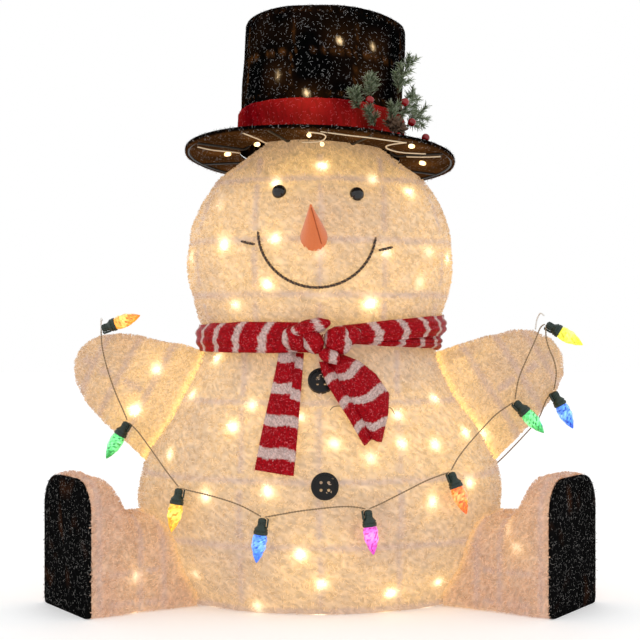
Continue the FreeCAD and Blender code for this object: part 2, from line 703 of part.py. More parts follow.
def leg_sockets():
    """Tubes inside the torso that the legs' prongs plug into."""
    made = []
    for side in SIDES.values():
        place = leg_place(side)
        for sideways in LEG_PINS:
            made.append(socket_tube(place.multVec(V(-212, sideways, LEG_PIN_Z)),
                                    place.multVec(V(-182, sideways, LEG_PIN_Z))))
    return made


def make_legs():
    torso = body(TORSO_PROFILE, -CLEAR)
    for name, side in SIDES.items():
        place = leg_place(side)
        solid = leg_solid()
        hollow = leg_solid(FABRIC)
        cover = solid.cut(hollow)
        cover.Placement = place
        save("leg_cover_" + name, max(cover.cut(torso).Solids, key=lambda part: part.Volume))
        panel = Part.Face(arch(0.3, 200, SOLE_WIDTH, 0, 0.24)).extrude(V(SOLE_THICK - 0.3, 0, 0))
        panel.Placement = place
        save("boot_sole_" + name, panel)
        inset = FABRIC + WIRE_R + 1.4
        wires = [loop_arch(a, h, w, inset) for a, h, w in LEG_LOOPS]
        for sideways, height in ((1, 62), (-1, 62), (1, 16), (-1, 16)):
            reach = 75.5 - inset - 2 * WIRE_R - 0.9
            wires.append(rod(V(-122, sideways * reach, height), V(-10, sideways * reach, height), WIRE_R))
        for sideways in LEG_PINS:
            wires.append(rod(V(-208, sideways, LEG_PIN_Z), V(-70, sideways, LEG_PIN_Z), PIN_R))
        frame = Part.Compound(wires)
        frame.Placement = place
        save("leg_frame_" + name, frame)


# ---- garland ----
# pivot of each bulb on the wire, where its lens points, and which way it swings about
BULBS = [
    (V(-343, -30, 420), V(0.93, -0.10, 0.32)),
    (V(-297, -66, 277), V(-0.50, -0.05, -0.87)),
    (V(-207, -176, 187), V(-0.17, -0.08, -0.98)),
    (V(-82, -235, 151), V(-0.14, 0.00, -0.99)),
    (V(68, -238, 163), V(0.13, 0.00, -0.99)),
    (V(192, -180, 211), V(0.34, -0.10, -0.93)),
    (V(300, -74, 309), V(0.67, -0.06, -0.74)),
    (V(354, -34, 428), V(0.85, -0.12, -0.50)),
    (V(366, -30, 322), V(0.46, -0.04, -0.88))]


def lens():
    """A faceted-bulb blank: widest a third of the way down, with a blunt point."""
    start = STEM_LONG + SOCKET_NECK_LONG + SOCKET_SKIRT_LONG + 0.2
    wide = start + 0.36 * LENS_LONG
    tip = start + LENS_LONG
    outline = Part.Wire([
        Part.LineSegment(V(0, 0, start), V(8.2, 0, start)).toShape(),
        Part.Arc(V(8.2, 0, start), V(10.7, 0, start + 6), V(LENS_R, 0, wide)).toShape(),
        Part.Arc(V(LENS_R, 0, wide), V(8.6, 0, wide + 15.5), V(2.2, 0, tip - 0.8)).toShape(),
        Part.LineSegment(V(2.2, 0, tip - 0.8), V(0, 0, tip)).toShape(),
        Part.LineSegment(V(0, 0, tip), V(0, 0, start)).toShape()])
    return Part.Face(outline).revolve(ZERO, UP, 360)


def bulb_socket():
    """Stem, ribbed neck and skirt."""
    stem = Part.makeCylinder(STEM_R, STEM_LONG + STEM_R + 0.5, V(0, 0, -STEM_R))
    neck = Part.makeCylinder(SOCKET_NECK_R, SOCKET_NECK_LONG, V(0, 0, STEM_LONG))
    skirt = Part.makeCone(SOCKET_NECK_R + 1, SOCKET_SKIRT_R, SOCKET_SKIRT_LONG, V(0, 0, STEM_LONG + SOCKET_NECK_LONG))
    made = stem.fuse(neck).fuse(skirt)
    for k in range(2):
        groove = Part.makeTorus(SOCKET_NECK_R, 0.7, V(0, 0, STEM_LONG + 4 + 4 * k))
        made = made.cut(groove)
    return made


# the wire's route from bulb to bulb, without the pivots
ROUTE_LEFT_ARM = [[V(-341, -46, 404), V(-336, -58, 382), V(-327, -65, 352), V(-315, -70, 320), V(-303, -69, 294)]]
ROUTE_FRONT = [
    [V(-283, -73, 266), V(-267, -88, 248), V(-249, -113, 229), V(-230, -144, 209), V(-215, -166, 195)],
    [V(-190, -190, 184), V(-168, -202, 181), V(-135, -219, 174), V(-107, -229, 165)],
    [V(-62, -239, 155), V(-32, -243, 161), V(0, -245, 165), V(30, -244, 168), V(52, -241, 167)],
    [V(84, -235, 169), V(105, -229, 179), V(130, -218, 190), V(155, -204, 201), V(176, -191, 207)],
    [V(199, -172, 224), V(214, -152, 241), V(232, -126, 257), V(252, -100, 274), V(270, -84, 290), V(288, -76, 301)]]
ROUTE_RIGHT_ARM = [
    [V(302, -76, 328), V(307, -74, 348), V(317, -69, 370), V(328, -62, 391), V(338, -52, 411), V(345, -40, 425)],
    [V(351, -47, 410), V(355, -52, 391), V(365, -50, 370), V(370, -42, 346)]]
ROUTE_LEAD = [V(355, -33, 312), V(351, -14, 291), V(347, 12, 273), V(338, 36, 258), V(327, 58, 241), V(312, 72, 222),
              V(295, 86, 202), V(276, 103, 183), V(256, 121, 169)]
LEAD_END = V(235, 135, 160)


def cord_between(start, end, points):
    """One run of wire that stops short of the stems at both ends."""
    first = start + V(points[0] - start).normalize() * CORD_END
    last = end + V(points[-1] - end).normalize() * CORD_END
    return cord([first] + points + [last])


def make_garland():
    pivots = [pivot for pivot, _ in BULBS]
    for number, (pivot, heading) in enumerate(BULBS, 1):
        save("bulb_%d_lens" % number, turned(lens(), heading, pivot))
        save("bulb_%d_socket" % number, turned(bulb_socket(), heading, pivot))
    save("garland_wire_left_arm", cord_between(pivots[0], pivots[1], ROUTE_LEFT_ARM[0]))
    front = [cord_between(pivots[k + 1], pivots[k + 2], run) for k, run in enumerate(ROUTE_FRONT)]
    save("garland_wire_front", Part.Compound(front))
    right = [cord_between(pivots[k + 6], pivots[k + 7], run) for k, run in enumerate(ROUTE_RIGHT_ARM)]
    save("garland_wire_right_arm", Part.Compound(right))
    lead = [pivots[8] + V(ROUTE_LEAD[0] - pivots[8]).normalize() * CORD_END] + ROUTE_LEAD + [LEAD_END]
    save("garland_lead", cord(lead))
    heading = V(LEAD_END - ROUTE_LEAD[-1]).normalize()
    grommet = Part.makeCone(3.2, 6.5, 9.0, LEAD_END + heading * 0.1, heading)
    save("lead_grommet", max(grommet.cut(body(TORSO_PROFILE, -0.3)).Solids, key=lambda part: part.Volume))


# ---- all nodes ----
os.makedirs("parts", exist_ok=True)
make_torso()
make_neck()
make_head()
make_face()
make_buttons()
make_scarf()
make_hat()
make_sprig()
make_arms()
make_legs()
make_garland()
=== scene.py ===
# %% [markdown]
# # A lighted yard snowman
# The snowman is a set of wire frames under curly white plush, lit from inside by strings of small
# lights. It wears a tinsel hat and scarf, sits in tinsel-soled boots, and holds a garland of large
# coloured bulbs. The measured model is loaded first, and every piece here is built around it.

# %% load the measured model
import math

import bmesh
import bpy
import numpy as np
from mathutils import Matrix, Vector, noise
from mathutils.bvhtree import BVHTree


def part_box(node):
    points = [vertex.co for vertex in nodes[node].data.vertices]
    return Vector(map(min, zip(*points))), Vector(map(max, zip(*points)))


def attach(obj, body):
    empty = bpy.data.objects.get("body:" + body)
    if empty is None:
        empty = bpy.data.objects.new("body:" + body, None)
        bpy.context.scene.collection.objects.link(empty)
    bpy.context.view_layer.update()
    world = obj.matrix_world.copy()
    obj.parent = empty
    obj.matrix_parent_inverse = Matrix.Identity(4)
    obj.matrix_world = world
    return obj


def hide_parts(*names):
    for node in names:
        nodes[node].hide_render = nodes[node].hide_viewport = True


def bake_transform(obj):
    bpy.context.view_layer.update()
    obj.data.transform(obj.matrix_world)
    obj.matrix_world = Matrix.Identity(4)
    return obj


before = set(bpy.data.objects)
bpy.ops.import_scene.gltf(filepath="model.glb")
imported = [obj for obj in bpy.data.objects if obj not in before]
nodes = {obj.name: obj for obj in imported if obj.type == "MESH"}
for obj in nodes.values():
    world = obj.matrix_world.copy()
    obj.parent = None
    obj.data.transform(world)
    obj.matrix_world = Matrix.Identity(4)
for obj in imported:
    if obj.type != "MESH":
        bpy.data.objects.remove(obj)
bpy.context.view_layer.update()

# %% [markdown]
# ## Camera
# The camera looks level along +Y from the front. A long lens keeps the sides of the body parallel,
# as in a catalogue picture.

# %% camera
bpy.ops.object.select_all(action="DESELECT")
bpy.ops.object.camera_add(location=(0.0, -2.4, 0.434), rotation=(math.pi / 2, 0, 0))
camera = bpy.context.object
camera.data.lens = 85
camera.data.sensor_width = 36
bpy.context.scene.camera = camera
print("camera", tuple(round(v, 3) for v in camera.location))

# %% [markdown]
# ## Garland wires
# On the real garland two thin wires are twisted together between one socket and the next. A NURBS
# curve gives each run its line, because it is smooth through every bend. The two strands are then
# wound around points read from that curve, so that they keep their distance everywhere.

# %% where the sockets hang and which way they point, in millimetres
PIVOTS = {1: (-343, -30, 420), 2: (-297, -66, 277), 3: (-207, -176, 187), 4: (-82, -235, 151),
          5: (68, -238, 163), 6: (192, -180, 211), 7: (300, -74, 309), 8: (354, -34, 428),
          9: (366, -30, 322)}
HEADINGS = {1: (0.93, -0.10, 0.32), 2: (-0.50, -0.05, -0.87), 3: (-0.17, -0.08, -0.98),
            4: (-0.14, 0, -0.99), 5: (0.13, 0, -0.99), 6: (0.34, -0.10, -0.93),
            7: (0.67, -0.06, -0.74), 8: (0.85, -0.12, -0.50), 9: (0.46, -0.04, -0.88)}
STEM_GAP = 0.0032
ROUTES = {
    "garland_1_2": (1, 2, [(-341, -46, 404), (-336, -58, 382), (-327, -65, 352), (-315, -70, 320),
                           (-303, -69, 294)]),
    "garland_2_3": (2, 3, [(-283, -73, 266), (-267, -88, 248), (-249, -113, 229), (-230, -144, 209),
                           (-215, -166, 195)]),
    "garland_3_4": (3, 4, [(-190, -190, 184), (-168, -202, 181), (-135, -219, 174),
                           (-107, -229, 165)]),
    "garland_4_5": (4, 5, [(-62, -239, 155), (-32, -243, 161), (0, -245, 165), (30, -244, 168),
                           (52, -241, 167)]),
    "garland_5_6": (5, 6, [(84, -235, 169), (105, -229, 179), (130, -218, 190), (155, -204, 201),
                           (176, -191, 207)]),
    "garland_6_7": (6, 7, [(199, -172, 224), (214, -152, 241), (232, -126, 257), (252, -100, 274),
                           (270, -84, 290), (288, -76, 301)]),
    "garland_7_8": (7, 8, [(302, -76, 328), (307, -74, 348), (317, -69, 370), (328, -62, 391),
                           (338, -52, 411), (345, -40, 425)]),
    "garland_8_9": (8, 9, [(351, -47, 410), (355, -52, 391), (365, -50, 370), (370, -42, 346)]),
    "garland_lead_wire": (9, None, [(355, -33, 312), (351, -14, 291), (347, 12, 273),
                                    (338, 36, 258), (327, 58, 241), (312, 72, 222),
                                    (295, 86, 202), (276, 103, 183), (256, 121, 169),
                                    (235, 135, 160)])}


def metres(point):
    return Vector(point) / 1000


def route_points(first, last, between):
    """The whole route of one run. It stops just short of the sockets' stems."""
    points = [metres(p) for p in between]
    start = metres(PIVOTS[first])
    made = [start + (points[0] - start).normalized() * STEM_GAP] + points
    if last:
        end = metres(PIVOTS[last])
        made.append(end + (points[-1] - end).normalized() * STEM_GAP)
    return made


def smooth_line(name, points):
    """Points read from a NURBS curve with the given control points."""
    curve = bpy.data.curves.new(name, "CURVE")
    curve.dimensions = "3D"
    curve.resolution_u = 10
    spline = curve.splines.new("NURBS")
    spline.points.add(len(points) - 1)
    for control, here in zip(spline.points, points):
        control.co = (*here, 1.0)
    spline.order_u = 3
    spline.use_endpoint_u = True
    holder = bpy.data.objects.new(name, curve)
    bpy.context.scene.collection.objects.link(holder)
    mesh = bpy.data.meshes.new_from_object(holder)
    line = np.array([v.co[:] for v in mesh.vertices])
    bpy.data.objects.remove(holder)
    bpy.data.curves.remove(curve)
    bpy.data.meshes.remove(mesh)
    return line


def line_length(line):
    return float(np.linalg.norm(np.diff(line, axis=0), axis=1).sum())


def even_steps(line, step):
    """The same line with points a fixed step apart."""
    along = np.concatenate([[0], np.cumsum(np.linalg.norm(np.diff(line, axis=0), axis=1))])
    marks = np.linspace(0, along[-1], max(3, int(round(along[-1] / step)) + 1))
    return np.stack([np.interp(marks, along, line[:, k]) for k in range(3)], axis=1), marks


lines = {name: smooth_line(name, route_points(*route)) for name, route in ROUTES.items()}
print("garland runs in mm", {name: round(1000 * line_length(line)) for name, line in lines.items()})


# %% two strands wound round a line
def unit(vectors):
    return vectors / np.maximum(np.linalg.norm(vectors, axis=-1, keepdims=True), 1e-12)


def carried_frames(line):
    """Directions along, beside and above a line that turn with it and never flip."""
    along = unit(np.gradient(line, axis=0))
    beside = np.cross(along[0], (0.31, 0.17, 0.93))
    besides = []
    for direction in along:
        beside = beside - direction * beside.dot(direction)
        beside = beside / np.linalg.norm(beside)
        besides.append(beside)
    besides = np.array(besides)
    return along, besides, np.cross(along, besides)


def mesh_piece(name, verts, faces):
    """A new object whose mesh has these points and faces, all with the same number of corners."""
    faces = np.asarray(faces, dtype=np.int32)
    mesh = bpy.data.meshes.new(name)
    mesh.vertices.add(len(verts))
    mesh.vertices.foreach_set("co", np.asarray(verts, dtype=np.float32).ravel())
    mesh.loops.add(faces.size)
    mesh.loops.foreach_set("vertex_index", faces.ravel())
    mesh.polygons.add(len(faces))
    mesh.polygons.foreach_set("loop_start", np.arange(0, faces.size, faces.shape[1]))
    mesh.polygons.foreach_set("use_smooth", np.ones(len(faces), bool))
    mesh.update(calc_edges=True)
    piece = bpy.data.objects.new(name, mesh)
    bpy.context.scene.collection.objects.link(piece)
    return piece


def strand_arrays(centres, radius, sides, first=0):
    """Points and faces of a thin round strand along centres, closed at both ends."""
    _, beside, above = carried_frames(centres)
    turns = np.linspace(0, 2 * math.pi, sides, endpoint=False)
    rings = (centres[:, None] + radius * (np.cos(turns)[None, :, None] * beside[:, None]
                                          + np.sin(turns)[None, :, None] * above[:, None]))
    verts = np.concatenate([rings.reshape(-1, 3), centres[:1], centres[-1:]])
    count = len(centres)
    k = np.arange(count - 1)[:, None] * sides
    j = np.arange(sides)[None, :]
    beside_j = (j + 1) % sides
    quads = np.stack([k + j, k + beside_j, k + sides + beside_j, k + sides + j], -1).reshape(-1, 4)
    start, end = count * sides, count * sides + 1
    low = [[start, (s + 1) % sides, s, s] for s in range(sides)]
    top = (count - 1) * sides
    high = [[end, top + s, top + (s + 1) % sides, top + (s + 1) % sides] for s in range(sides)]
    tris = np.array([f[:3] for f in low + high]) + first
    split = np.concatenate([quads[:, [0, 1, 2]], quads[:, [0, 2, 3]]]) + first
    return verts, np.concatenate([split, tris])


def wound(name, line, strands, off, radius, pitch, sides=6):
    """Strands twisted together round a line."""
    centres, marks = even_steps(line, pitch / 8)
    _, beside, above = carried_frames(centres)
    verts, faces, first = [], [], 0
    for s in range(strands):
        turn = 2 * math.pi * (marks / pitch + s / strands)
        spread = off * np.clip(np.minimum(marks, marks[-1] - marks) / 0.004, 0.6, 1)
        path = centres + spread[:, None] * (np.cos(turn)[:, None] * beside
                                            + np.sin(turn)[:, None] * above)
        more, more_faces = strand_arrays(path, radius, sides, first)
        verts.append(more)
        faces.append(more_faces)
        first += len(more)
    return mesh_piece(name, np.concatenate(verts), np.concatenate(faces))


garland = {}
for name, line in lines.items():
    garland[name] = wound(name, line, 2, 0.00066, 0.00064, 0.0085)
print("garland strands", sum(len(o.data.polygons) for o in garland.values()), "faces")

# %% what the runs ride on
GARLAND_BODY = {"garland_1_2": "arm_left", "garland_3_4": "torso", "garland_4_5": "torso",
                "garland_5_6": "torso", "garland_7_8": "arm_right", "garland_8_9": "arm_right"}
GARLAND_STANDS_FOR = {"garland_1_2": "garland_wire_left_arm", "garland_2_3": "garland_wire_front",
                      "garland_3_4": "garland_wire_front", "garland_4_5": "garland_wire_front",
                      "garland_5_6": "garland_wire_front", "garland_6_7": "garland_wire_front",
                      "garland_7_8": "garland_wire_right_arm",
                      "garland_8_9": "garland_wire_right_arm", "garland_lead_wire": "garland_lead"}

for name, piece in garland.items():
    line = lines[name]
    if name in GARLAND_BODY:
        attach(piece, GARLAND_BODY[name])
    else:
        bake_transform(piece)
    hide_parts(GARLAND_STANDS_FOR[name])
print(len(garland), "runs of garland wire ride on their bodies")

# %% [markdown]
# ## Small tools for modelling
# Each piece starts as a primitive and is shaped in edit mode. These few helpers start from a clear
# selection, pick points by their place, and put the finished shape's place into its mesh.


# %% modelling helpers
def clear():
    if bpy.context.object and bpy.context.object.mode != "OBJECT":
        bpy.ops.object.mode_set(mode="OBJECT")
    bpy.ops.object.select_all(action="DESELECT")


def named(name):
    """Names the primitive that was just added."""
    piece = bpy.context.object
    piece.name = name
    piece.data.name = name
    return piece


def only(piece):
    clear()
    piece.select_set(True)
    bpy.context.view_layer.objects.active = piece


def smoothed(piece):
    only(piece)
    bpy.ops.object.shade_smooth()


def settle(piece):
    """Puts a piece's place, turn and size into its mesh."""
    only(piece)
    bpy.ops.object.transform_apply(location=True, rotation=True, scale=True)
    return piece


def pick(piece, kind, test):
    """In edit mode, selects just the vertices, edges or faces that pass the test."""
    only(piece)
    bpy.ops.object.mode_set(mode="EDIT")
    bpy.ops.mesh.select_mode(type={"verts": "VERT", "edges": "EDGE", "faces": "FACE"}[kind])
    bpy.ops.mesh.select_all(action="DESELECT")
    shape = bmesh.from_edit_mesh(piece.data)
    for part in getattr(shape, kind):
        if test(part):
            part.select_set(True)
    shape.select_flush_mode()
    bmesh.update_edit_mesh(piece.data)


def leave():
    bpy.ops.object.mode_set(mode="OBJECT")


def add_modifier(piece, kind, **settings):
    """Adds a modifier with its settings and applies it."""
    only(piece)
    modifier = piece.modifiers.new(kind.lower(), kind)
    for key, value in settings.items():
        setattr(modifier, key, value)
    bpy.ops.object.modifier_apply(modifier=modifier.name)


def points_of(piece):
    co = np.empty(len(piece.data.vertices) * 3, np.float32)
    piece.data.vertices.foreach_get("co", co)
    return co.reshape(-1, 3).astype(float)


def normals_of(piece):
    co = np.empty(len(piece.data.vertices) * 3, np.float32)
    piece.data.vertices.foreach_get("normal", co)
    return co.reshape(-1, 3).astype(float)


def move_points(piece, co):
    piece.data.vertices.foreach_set("co", np.asarray(co, np.float32).ravel())
    piece.data.update()


def mark(piece, name, values):
    """Stores one number per vertex for materials to read."""
    layer = piece.data.attributes.get(name) or piece.data.attributes.new(name, "FLOAT", "POINT")
    layer.data.foreach_set("value", np.asarray(values, np.float32))


def islands(node):
    """The separate solids of a measured node, each as an array of its points."""
    shape = bmesh.new()
    shape.from_mesh(nodes[node].data)
    bmesh.ops.remove_doubles(shape, verts=shape.verts, dist=1e-6)
    shape.verts.index_update()
    seen, found = set(), []
    for start in shape.verts:
        if start.index in seen:
            continue
        seen.add(start.index)
        stack, group = [start], []
        while stack:
            here = stack.pop()
            group.append(here.co[:])
            for edge in here.link_edges:
                other = edge.other_vert(here)
                if other.index not in seen:
                    seen.add(other.index)
                    stack.append(other)
        found.append(np.array(group))
    shape.free()
    return found


def lights_in(node):
    """Middles of a light string's bulbs: its small solids."""
    return np.array([(g.min(0) + g.max(0)) / 2 for g in islands(node)
                     if np.linalg.norm(g.max(0) - g.min(0)) < 0.025])


torso_leds = lights_in("torso_lights")
head_leds = lights_in("head_lights")
hat_leds = lights_in("hat_lights")
print("lights found: torso", len(torso_leds), "head", len(head_leds), "hat", len(hat_leds))

# %% [markdown]
# ## Shared effects
# Several finishes need the same things, so each is built once as a node group. `cover_light` turns
# how near a light and a frame wire are into the cover's colour and glow. `tinsel_glint` makes one
# strand in many flash with a painted glint colour and a little metal. `fine_mottle` breaks up an
# even surface and gives it a little height.


# %% node helpers
def add_node(tree, kind, settings=None, **inputs):
    """Adds a node, sets its settings, and sets or links its inputs."""
    made = tree.nodes.new(kind)
    for key, value in (settings or {}).items():
        setattr(made, key, value)
    for key, value in inputs.items():
        socket = made.inputs[int(key[1:])] if key[1:].isdigit() else made.inputs[key.replace("_", " ")]
        if isinstance(value, bpy.types.NodeSocket):
            tree.links.new(value, socket)
        else:
            socket.default_value = value
    return made


def blend_colours(tree, kind, amount, first, second):
    """A colour mix node's result."""
    made = add_node(tree, "ShaderNodeMix", {"data_type": "RGBA", "blend_type": kind})
    for index, value in ((0, amount), (6, first), (7, second)):
        if isinstance(value, bpy.types.NodeSocket):
            tree.links.new(value, made.inputs[index])
        else:
            made.inputs[index].default_value = value
    return made.outputs[2]


def arithmetic(tree, kind, first, second=0.0, clamp=False):
    made = add_node(tree, "ShaderNodeMath", {"operation": kind, "use_clamp": clamp}, i0=first, i1=second)
    return made.outputs[0]


def effect(name, inputs, outputs):
    """An empty node group with named inputs and outputs."""
    tree = bpy.data.node_groups.new(name, "ShaderNodeTree")
    for label, value in inputs:
        kind = "NodeSocketColor" if isinstance(value, tuple) else "NodeSocketFloat"
        tree.interface.new_socket(label, in_out="INPUT", socket_type=kind).default_value = value
    for label, kind in outputs:
        tree.interface.new_socket(label, in_out="OUTPUT", socket_type=kind)
    return tree, tree.nodes.new("NodeGroupInput").outputs, tree.nodes.new("NodeGroupOutput").inputs


def finish_named(name):
    """A new material and its Principled shader."""
    material = bpy.data.materials.new(name)
    material.use_nodes = True
    return material, material.node_tree, material.node_tree.nodes["Principled BSDF"]


def use_effect(tree, group, **inputs):
    made = add_node(tree, "ShaderNodeGroup", {"node_tree": group}, **inputs)
    return made.outputs


def value_of(tree, name):
    """A number stored on the mesh."""
    return add_node(tree, "ShaderNodeAttribute", {"attribute_name": name}).outputs["Fac"]


def place_in(tree):
    return add_node(tree, "ShaderNodeTexCoord").outputs["Object"]


def give(piece, material):
    piece.data.materials.clear()
    piece.data.materials.append(material)
    return piece


def colour(red, green, blue):
    return (red, green, blue, 1.0)


def shine_with(material, tint):
    """Sets the colour that a material sends out."""
    material.node_tree.nodes["Principled BSDF"].inputs["Emission Color"].default_value = tint


print("node helpers ready")

# %% the light that comes through a cover
cover_light, into, out = effect(
    "cover_light",
    [("Glow", 0.5), ("Halo", 0.0), ("Core", 0.0), ("Wire", 0.0), ("Tone", 0.5),
     ("Dim", colour(0.30, 0.20, 0.13)), ("Warm", colour(0.72, 0.46, 0.12)),
     ("Fabric", colour(0.42, 0.33, 0.27))],
    [("Color", "NodeSocketColor"), ("Emission", "NodeSocketColor")])
lit = blend_colours(cover_light, "MIX", into["Glow"], into["Dim"], into["Warm"])
toned = arithmetic(cover_light, "MULTIPLY_ADD", into["Tone"], 0.62)
toned.node.inputs[2].default_value = 0.72
grey = add_node(cover_light, "ShaderNodeCombineColor", None, Red=toned, Green=toned, Blue=toned)
lit = blend_colours(cover_light, "MULTIPLY", 1.0, lit, grey.outputs[0])
shadow = arithmetic(cover_light, "MULTIPLY", into["Wire"], 0.66)
lit = blend_colours(cover_light, "MIX", shadow, lit, colour(0.23, 0.16, 0.16))
lit = blend_colours(cover_light, "ADD", into["Halo"], lit, colour(0.95, 0.55, 0.10))
lit = blend_colours(cover_light, "ADD", into["Core"], lit, colour(2.6, 2.4, 1.9))
cover_light.links.new(lit, out["Emission"])
body_colour = blend_colours(cover_light, "MULTIPLY", 0.8, into["Fabric"], grey.outputs[0])
cover_light.links.new(body_colour, out["Color"])
print(cover_light.name, "has", len(cover_light.nodes), "nodes")

# %% glints and mottling
tinsel_glint, into, out = effect(
    "tinsel_glint",
    [("Tone", 0.5), ("Base", colour(0.02, 0.02, 0.02)), ("Glint", colour(0.8, 0.8, 0.8)),
     ("Share", 0.9)],
    [("Color", "NodeSocketColor"), ("Metallic", "NodeSocketFloat"), ("Roughness", "NodeSocketFloat")])
# Strands whose tone passes the share get the Glint colour, a painted glint, and half metallic; the rest keep
# the base colour at a random tone.
flash = arithmetic(tinsel_glint, "GREATER_THAN", into["Tone"], into["Share"])
shade = arithmetic(tinsel_glint, "MULTIPLY_ADD", into["Tone"], 0.9)
shade.node.inputs[2].default_value = 0.5
grey = add_node(tinsel_glint, "ShaderNodeCombineColor", None, Red=shade, Green=shade, Blue=shade)
strand = blend_colours(tinsel_glint, "MULTIPLY", 1.0, into["Base"], grey.outputs[0])
tinsel_glint.links.new(blend_colours(tinsel_glint, "MIX", flash, strand, into["Glint"]), out["Color"])
tinsel_glint.links.new(arithmetic(tinsel_glint, "MULTIPLY", flash, 0.5), out["Metallic"])
rough = arithmetic(tinsel_glint, "MULTIPLY_ADD", into["Tone"], 0.25)
rough.node.inputs[2].default_value = 0.25
tinsel_glint.links.new(rough, out["Roughness"])

fine_mottle, into, out = effect(
    "fine_mottle",
    [("Scale", 60.0), ("Low", colour(0.4, 0.4, 0.4)), ("High", colour(0.6, 0.6, 0.6)),
     ("Rough Low", 0.35), ("Rough High", 0.55)],
    [("Color", "NodeSocketColor"), ("Roughness", "NodeSocketFloat"), ("Height", "NodeSocketFloat")])
speckle = add_node(fine_mottle, "ShaderNodeTexNoise", None, Vector=place_in(fine_mottle),
                   Scale=into["Scale"], Detail=5.0, Roughness=0.6)
fine_mottle.links.new(blend_colours(fine_mottle, "MIX", speckle.outputs["Fac"], into["Low"],
                                    into["High"]), out["Color"])
spread = add_node(fine_mottle, "ShaderNodeMapRange", None, Value=speckle.outputs["Fac"])
fine_mottle.links.new(into["Rough Low"], spread.inputs["To Min"])
fine_mottle.links.new(into["Rough High"], spread.inputs["To Max"])
fine_mottle.links.new(spread.outputs[0], out["Roughness"])
fine_mottle.links.new(speckle.outputs["Fac"], out["Height"])
print(tinsel_glint.name, "and", fine_mottle.name, "are ready")


# %% materials made with those effects
def plush_finish(name, dim, warm, fabric):
    """Curly plush, lit from behind."""
    material, tree, shader = finish_named(name)
    light = use_effect(tree, cover_light, Glow=value_of(tree, "glow"), Halo=value_of(tree, "halo"),
                       Core=value_of(tree, "core"), Wire=value_of(tree, "wire"),
                       Tone=value_of(tree, "tone"), Dim=dim, Warm=warm, Fabric=fabric)
    mottle = use_effect(tree, fine_mottle, Scale=420.0)
    tree.links.new(light["Color"], shader.inputs["Base Color"])
    tree.links.new(light["Emission"], shader.inputs["Emission Color"])
    tree.links.new(mottle["Roughness"], shader.inputs["Roughness"])
    bump = add_node(tree, "ShaderNodeBump", None, Strength=0.5, Distance=0.0015, Height=mottle["Height"])
    tree.links.new(bump.outputs[0], shader.inputs["Normal"])
    shader.inputs["Emission Strength"].default_value = 1.0
    shader.inputs["Sheen Weight"].default_value = 0.25
    return material


def show_strand(tree, strand, shader):
    """Joins the glint effect to a material."""
    tree.links.new(strand["Color"], shader.inputs["Base Color"])
    tree.links.new(strand["Metallic"], shader.inputs["Metallic"])
    tree.links.new(strand["Roughness"], shader.inputs["Roughness"])


def tinsel_finish(name, base, glint, share, glow=colour(0, 0, 0)):
    """Thin shiny strands. Some flash with a painted glint colour and a little metal, and light from
    inside comes through where it is marked, as painted glow.
    """
    material, tree, shader = finish_named(name)
    strand = use_effect(tree, tinsel_glint, Tone=value_of(tree, "tone"), Base=base, Glint=glint,
                        Share=share)
    show_strand(tree, strand, shader)
    through = blend_colours(tree, "MIX", value_of(tree, "glow"), colour(0, 0, 0), glow)
    through = blend_colours(tree, "ADD", value_of(tree, "core"), through, colour(2.4, 1.7, 0.9))
    tree.links.new(through, shader.inputs["Emission Color"])
    shader.inputs["Emission Strength"].default_value = 1.0
    shader.inputs["Specular IOR Level"].default_value = 0.0
    return material


def striped_finish(name):
    """Red tinsel with paler stripes where the mesh says so."""
    material, tree, shader = finish_named(name)
    stripe = value_of(tree, "stripe")
    base = blend_colours(tree, "MIX", stripe, colour(0.36, 0.002, 0.007), colour(0.62, 0.43, 0.39))
    glint = blend_colours(tree, "MIX", stripe, colour(0.80, 0.16, 0.18), colour(0.90, 0.80, 0.78))
    strand = use_effect(tree, tinsel_glint, Tone=value_of(tree, "tone"), Base=base, Glint=glint,
                        Share=0.84)
    show_strand(tree, strand, shader)
    shader.inputs["Specular IOR Level"].default_value = 0.06
    return material


def solid_finish(name, low, high, rough, scale=60.0, bump=0.15, depth=0.0006, **constants):
    """Plastic, felt, rope, wood or metal: mottled colour, uneven roughness and a little height."""
    material, tree, shader = finish_named(name)
    mottle = use_effect(tree, fine_mottle, Scale=scale, Low=low, High=high)
    group = mottle["Color"].node
    group.inputs["Rough Low"].default_value = rough[0]
    group.inputs["Rough High"].default_value = rough[1]
    tree.links.new(mottle["Color"], shader.inputs["Base Color"])
    tree.links.new(mottle["Roughness"], shader.inputs["Roughness"])
    bumps = add_node(tree, "ShaderNodeBump", None, Strength=bump, Distance=depth, Height=mottle["Height"])
    tree.links.new(bumps.outputs[0], shader.inputs["Normal"])
    for key, value in constants.items():
        shader.inputs[key.replace("_", " ")].default_value = value
    return material


def lens_finish(name, deep, bright):
    """Coloured clear plastic with the lamp glowing inside: bright facets over a deep body."""
    material, tree, shader = finish_named(name)
    core = value_of(tree, "core")
    facet = value_of(tree, "facet")
    body = blend_colours(tree, "MIX", facet, deep, bright)
    glow = blend_colours(tree, "MIX", core, deep, bright)
    glow = blend_colours(tree, "MULTIPLY", 1.0, glow, blend_colours(
        tree, "MIX", facet, colour(0.35, 0.35, 0.35), colour(1.25, 1.25, 1.25)))
    hot = arithmetic(tree, "MULTIPLY", arithmetic(tree, "MULTIPLY", core, core), facet)
    glow = blend_colours(tree, "ADD", hot, glow, colour(0.30, 0.28, 0.22))
    tree.links.new(body, shader.inputs["Base Color"])
    tree.links.new(glow, shader.inputs["Emission Color"])
    shader.inputs["Emission Strength"].default_value = 1.0
    shader.inputs["Roughness"].default_value = 0.12
    shader.inputs["Coat Weight"].default_value = 0.8
    return material


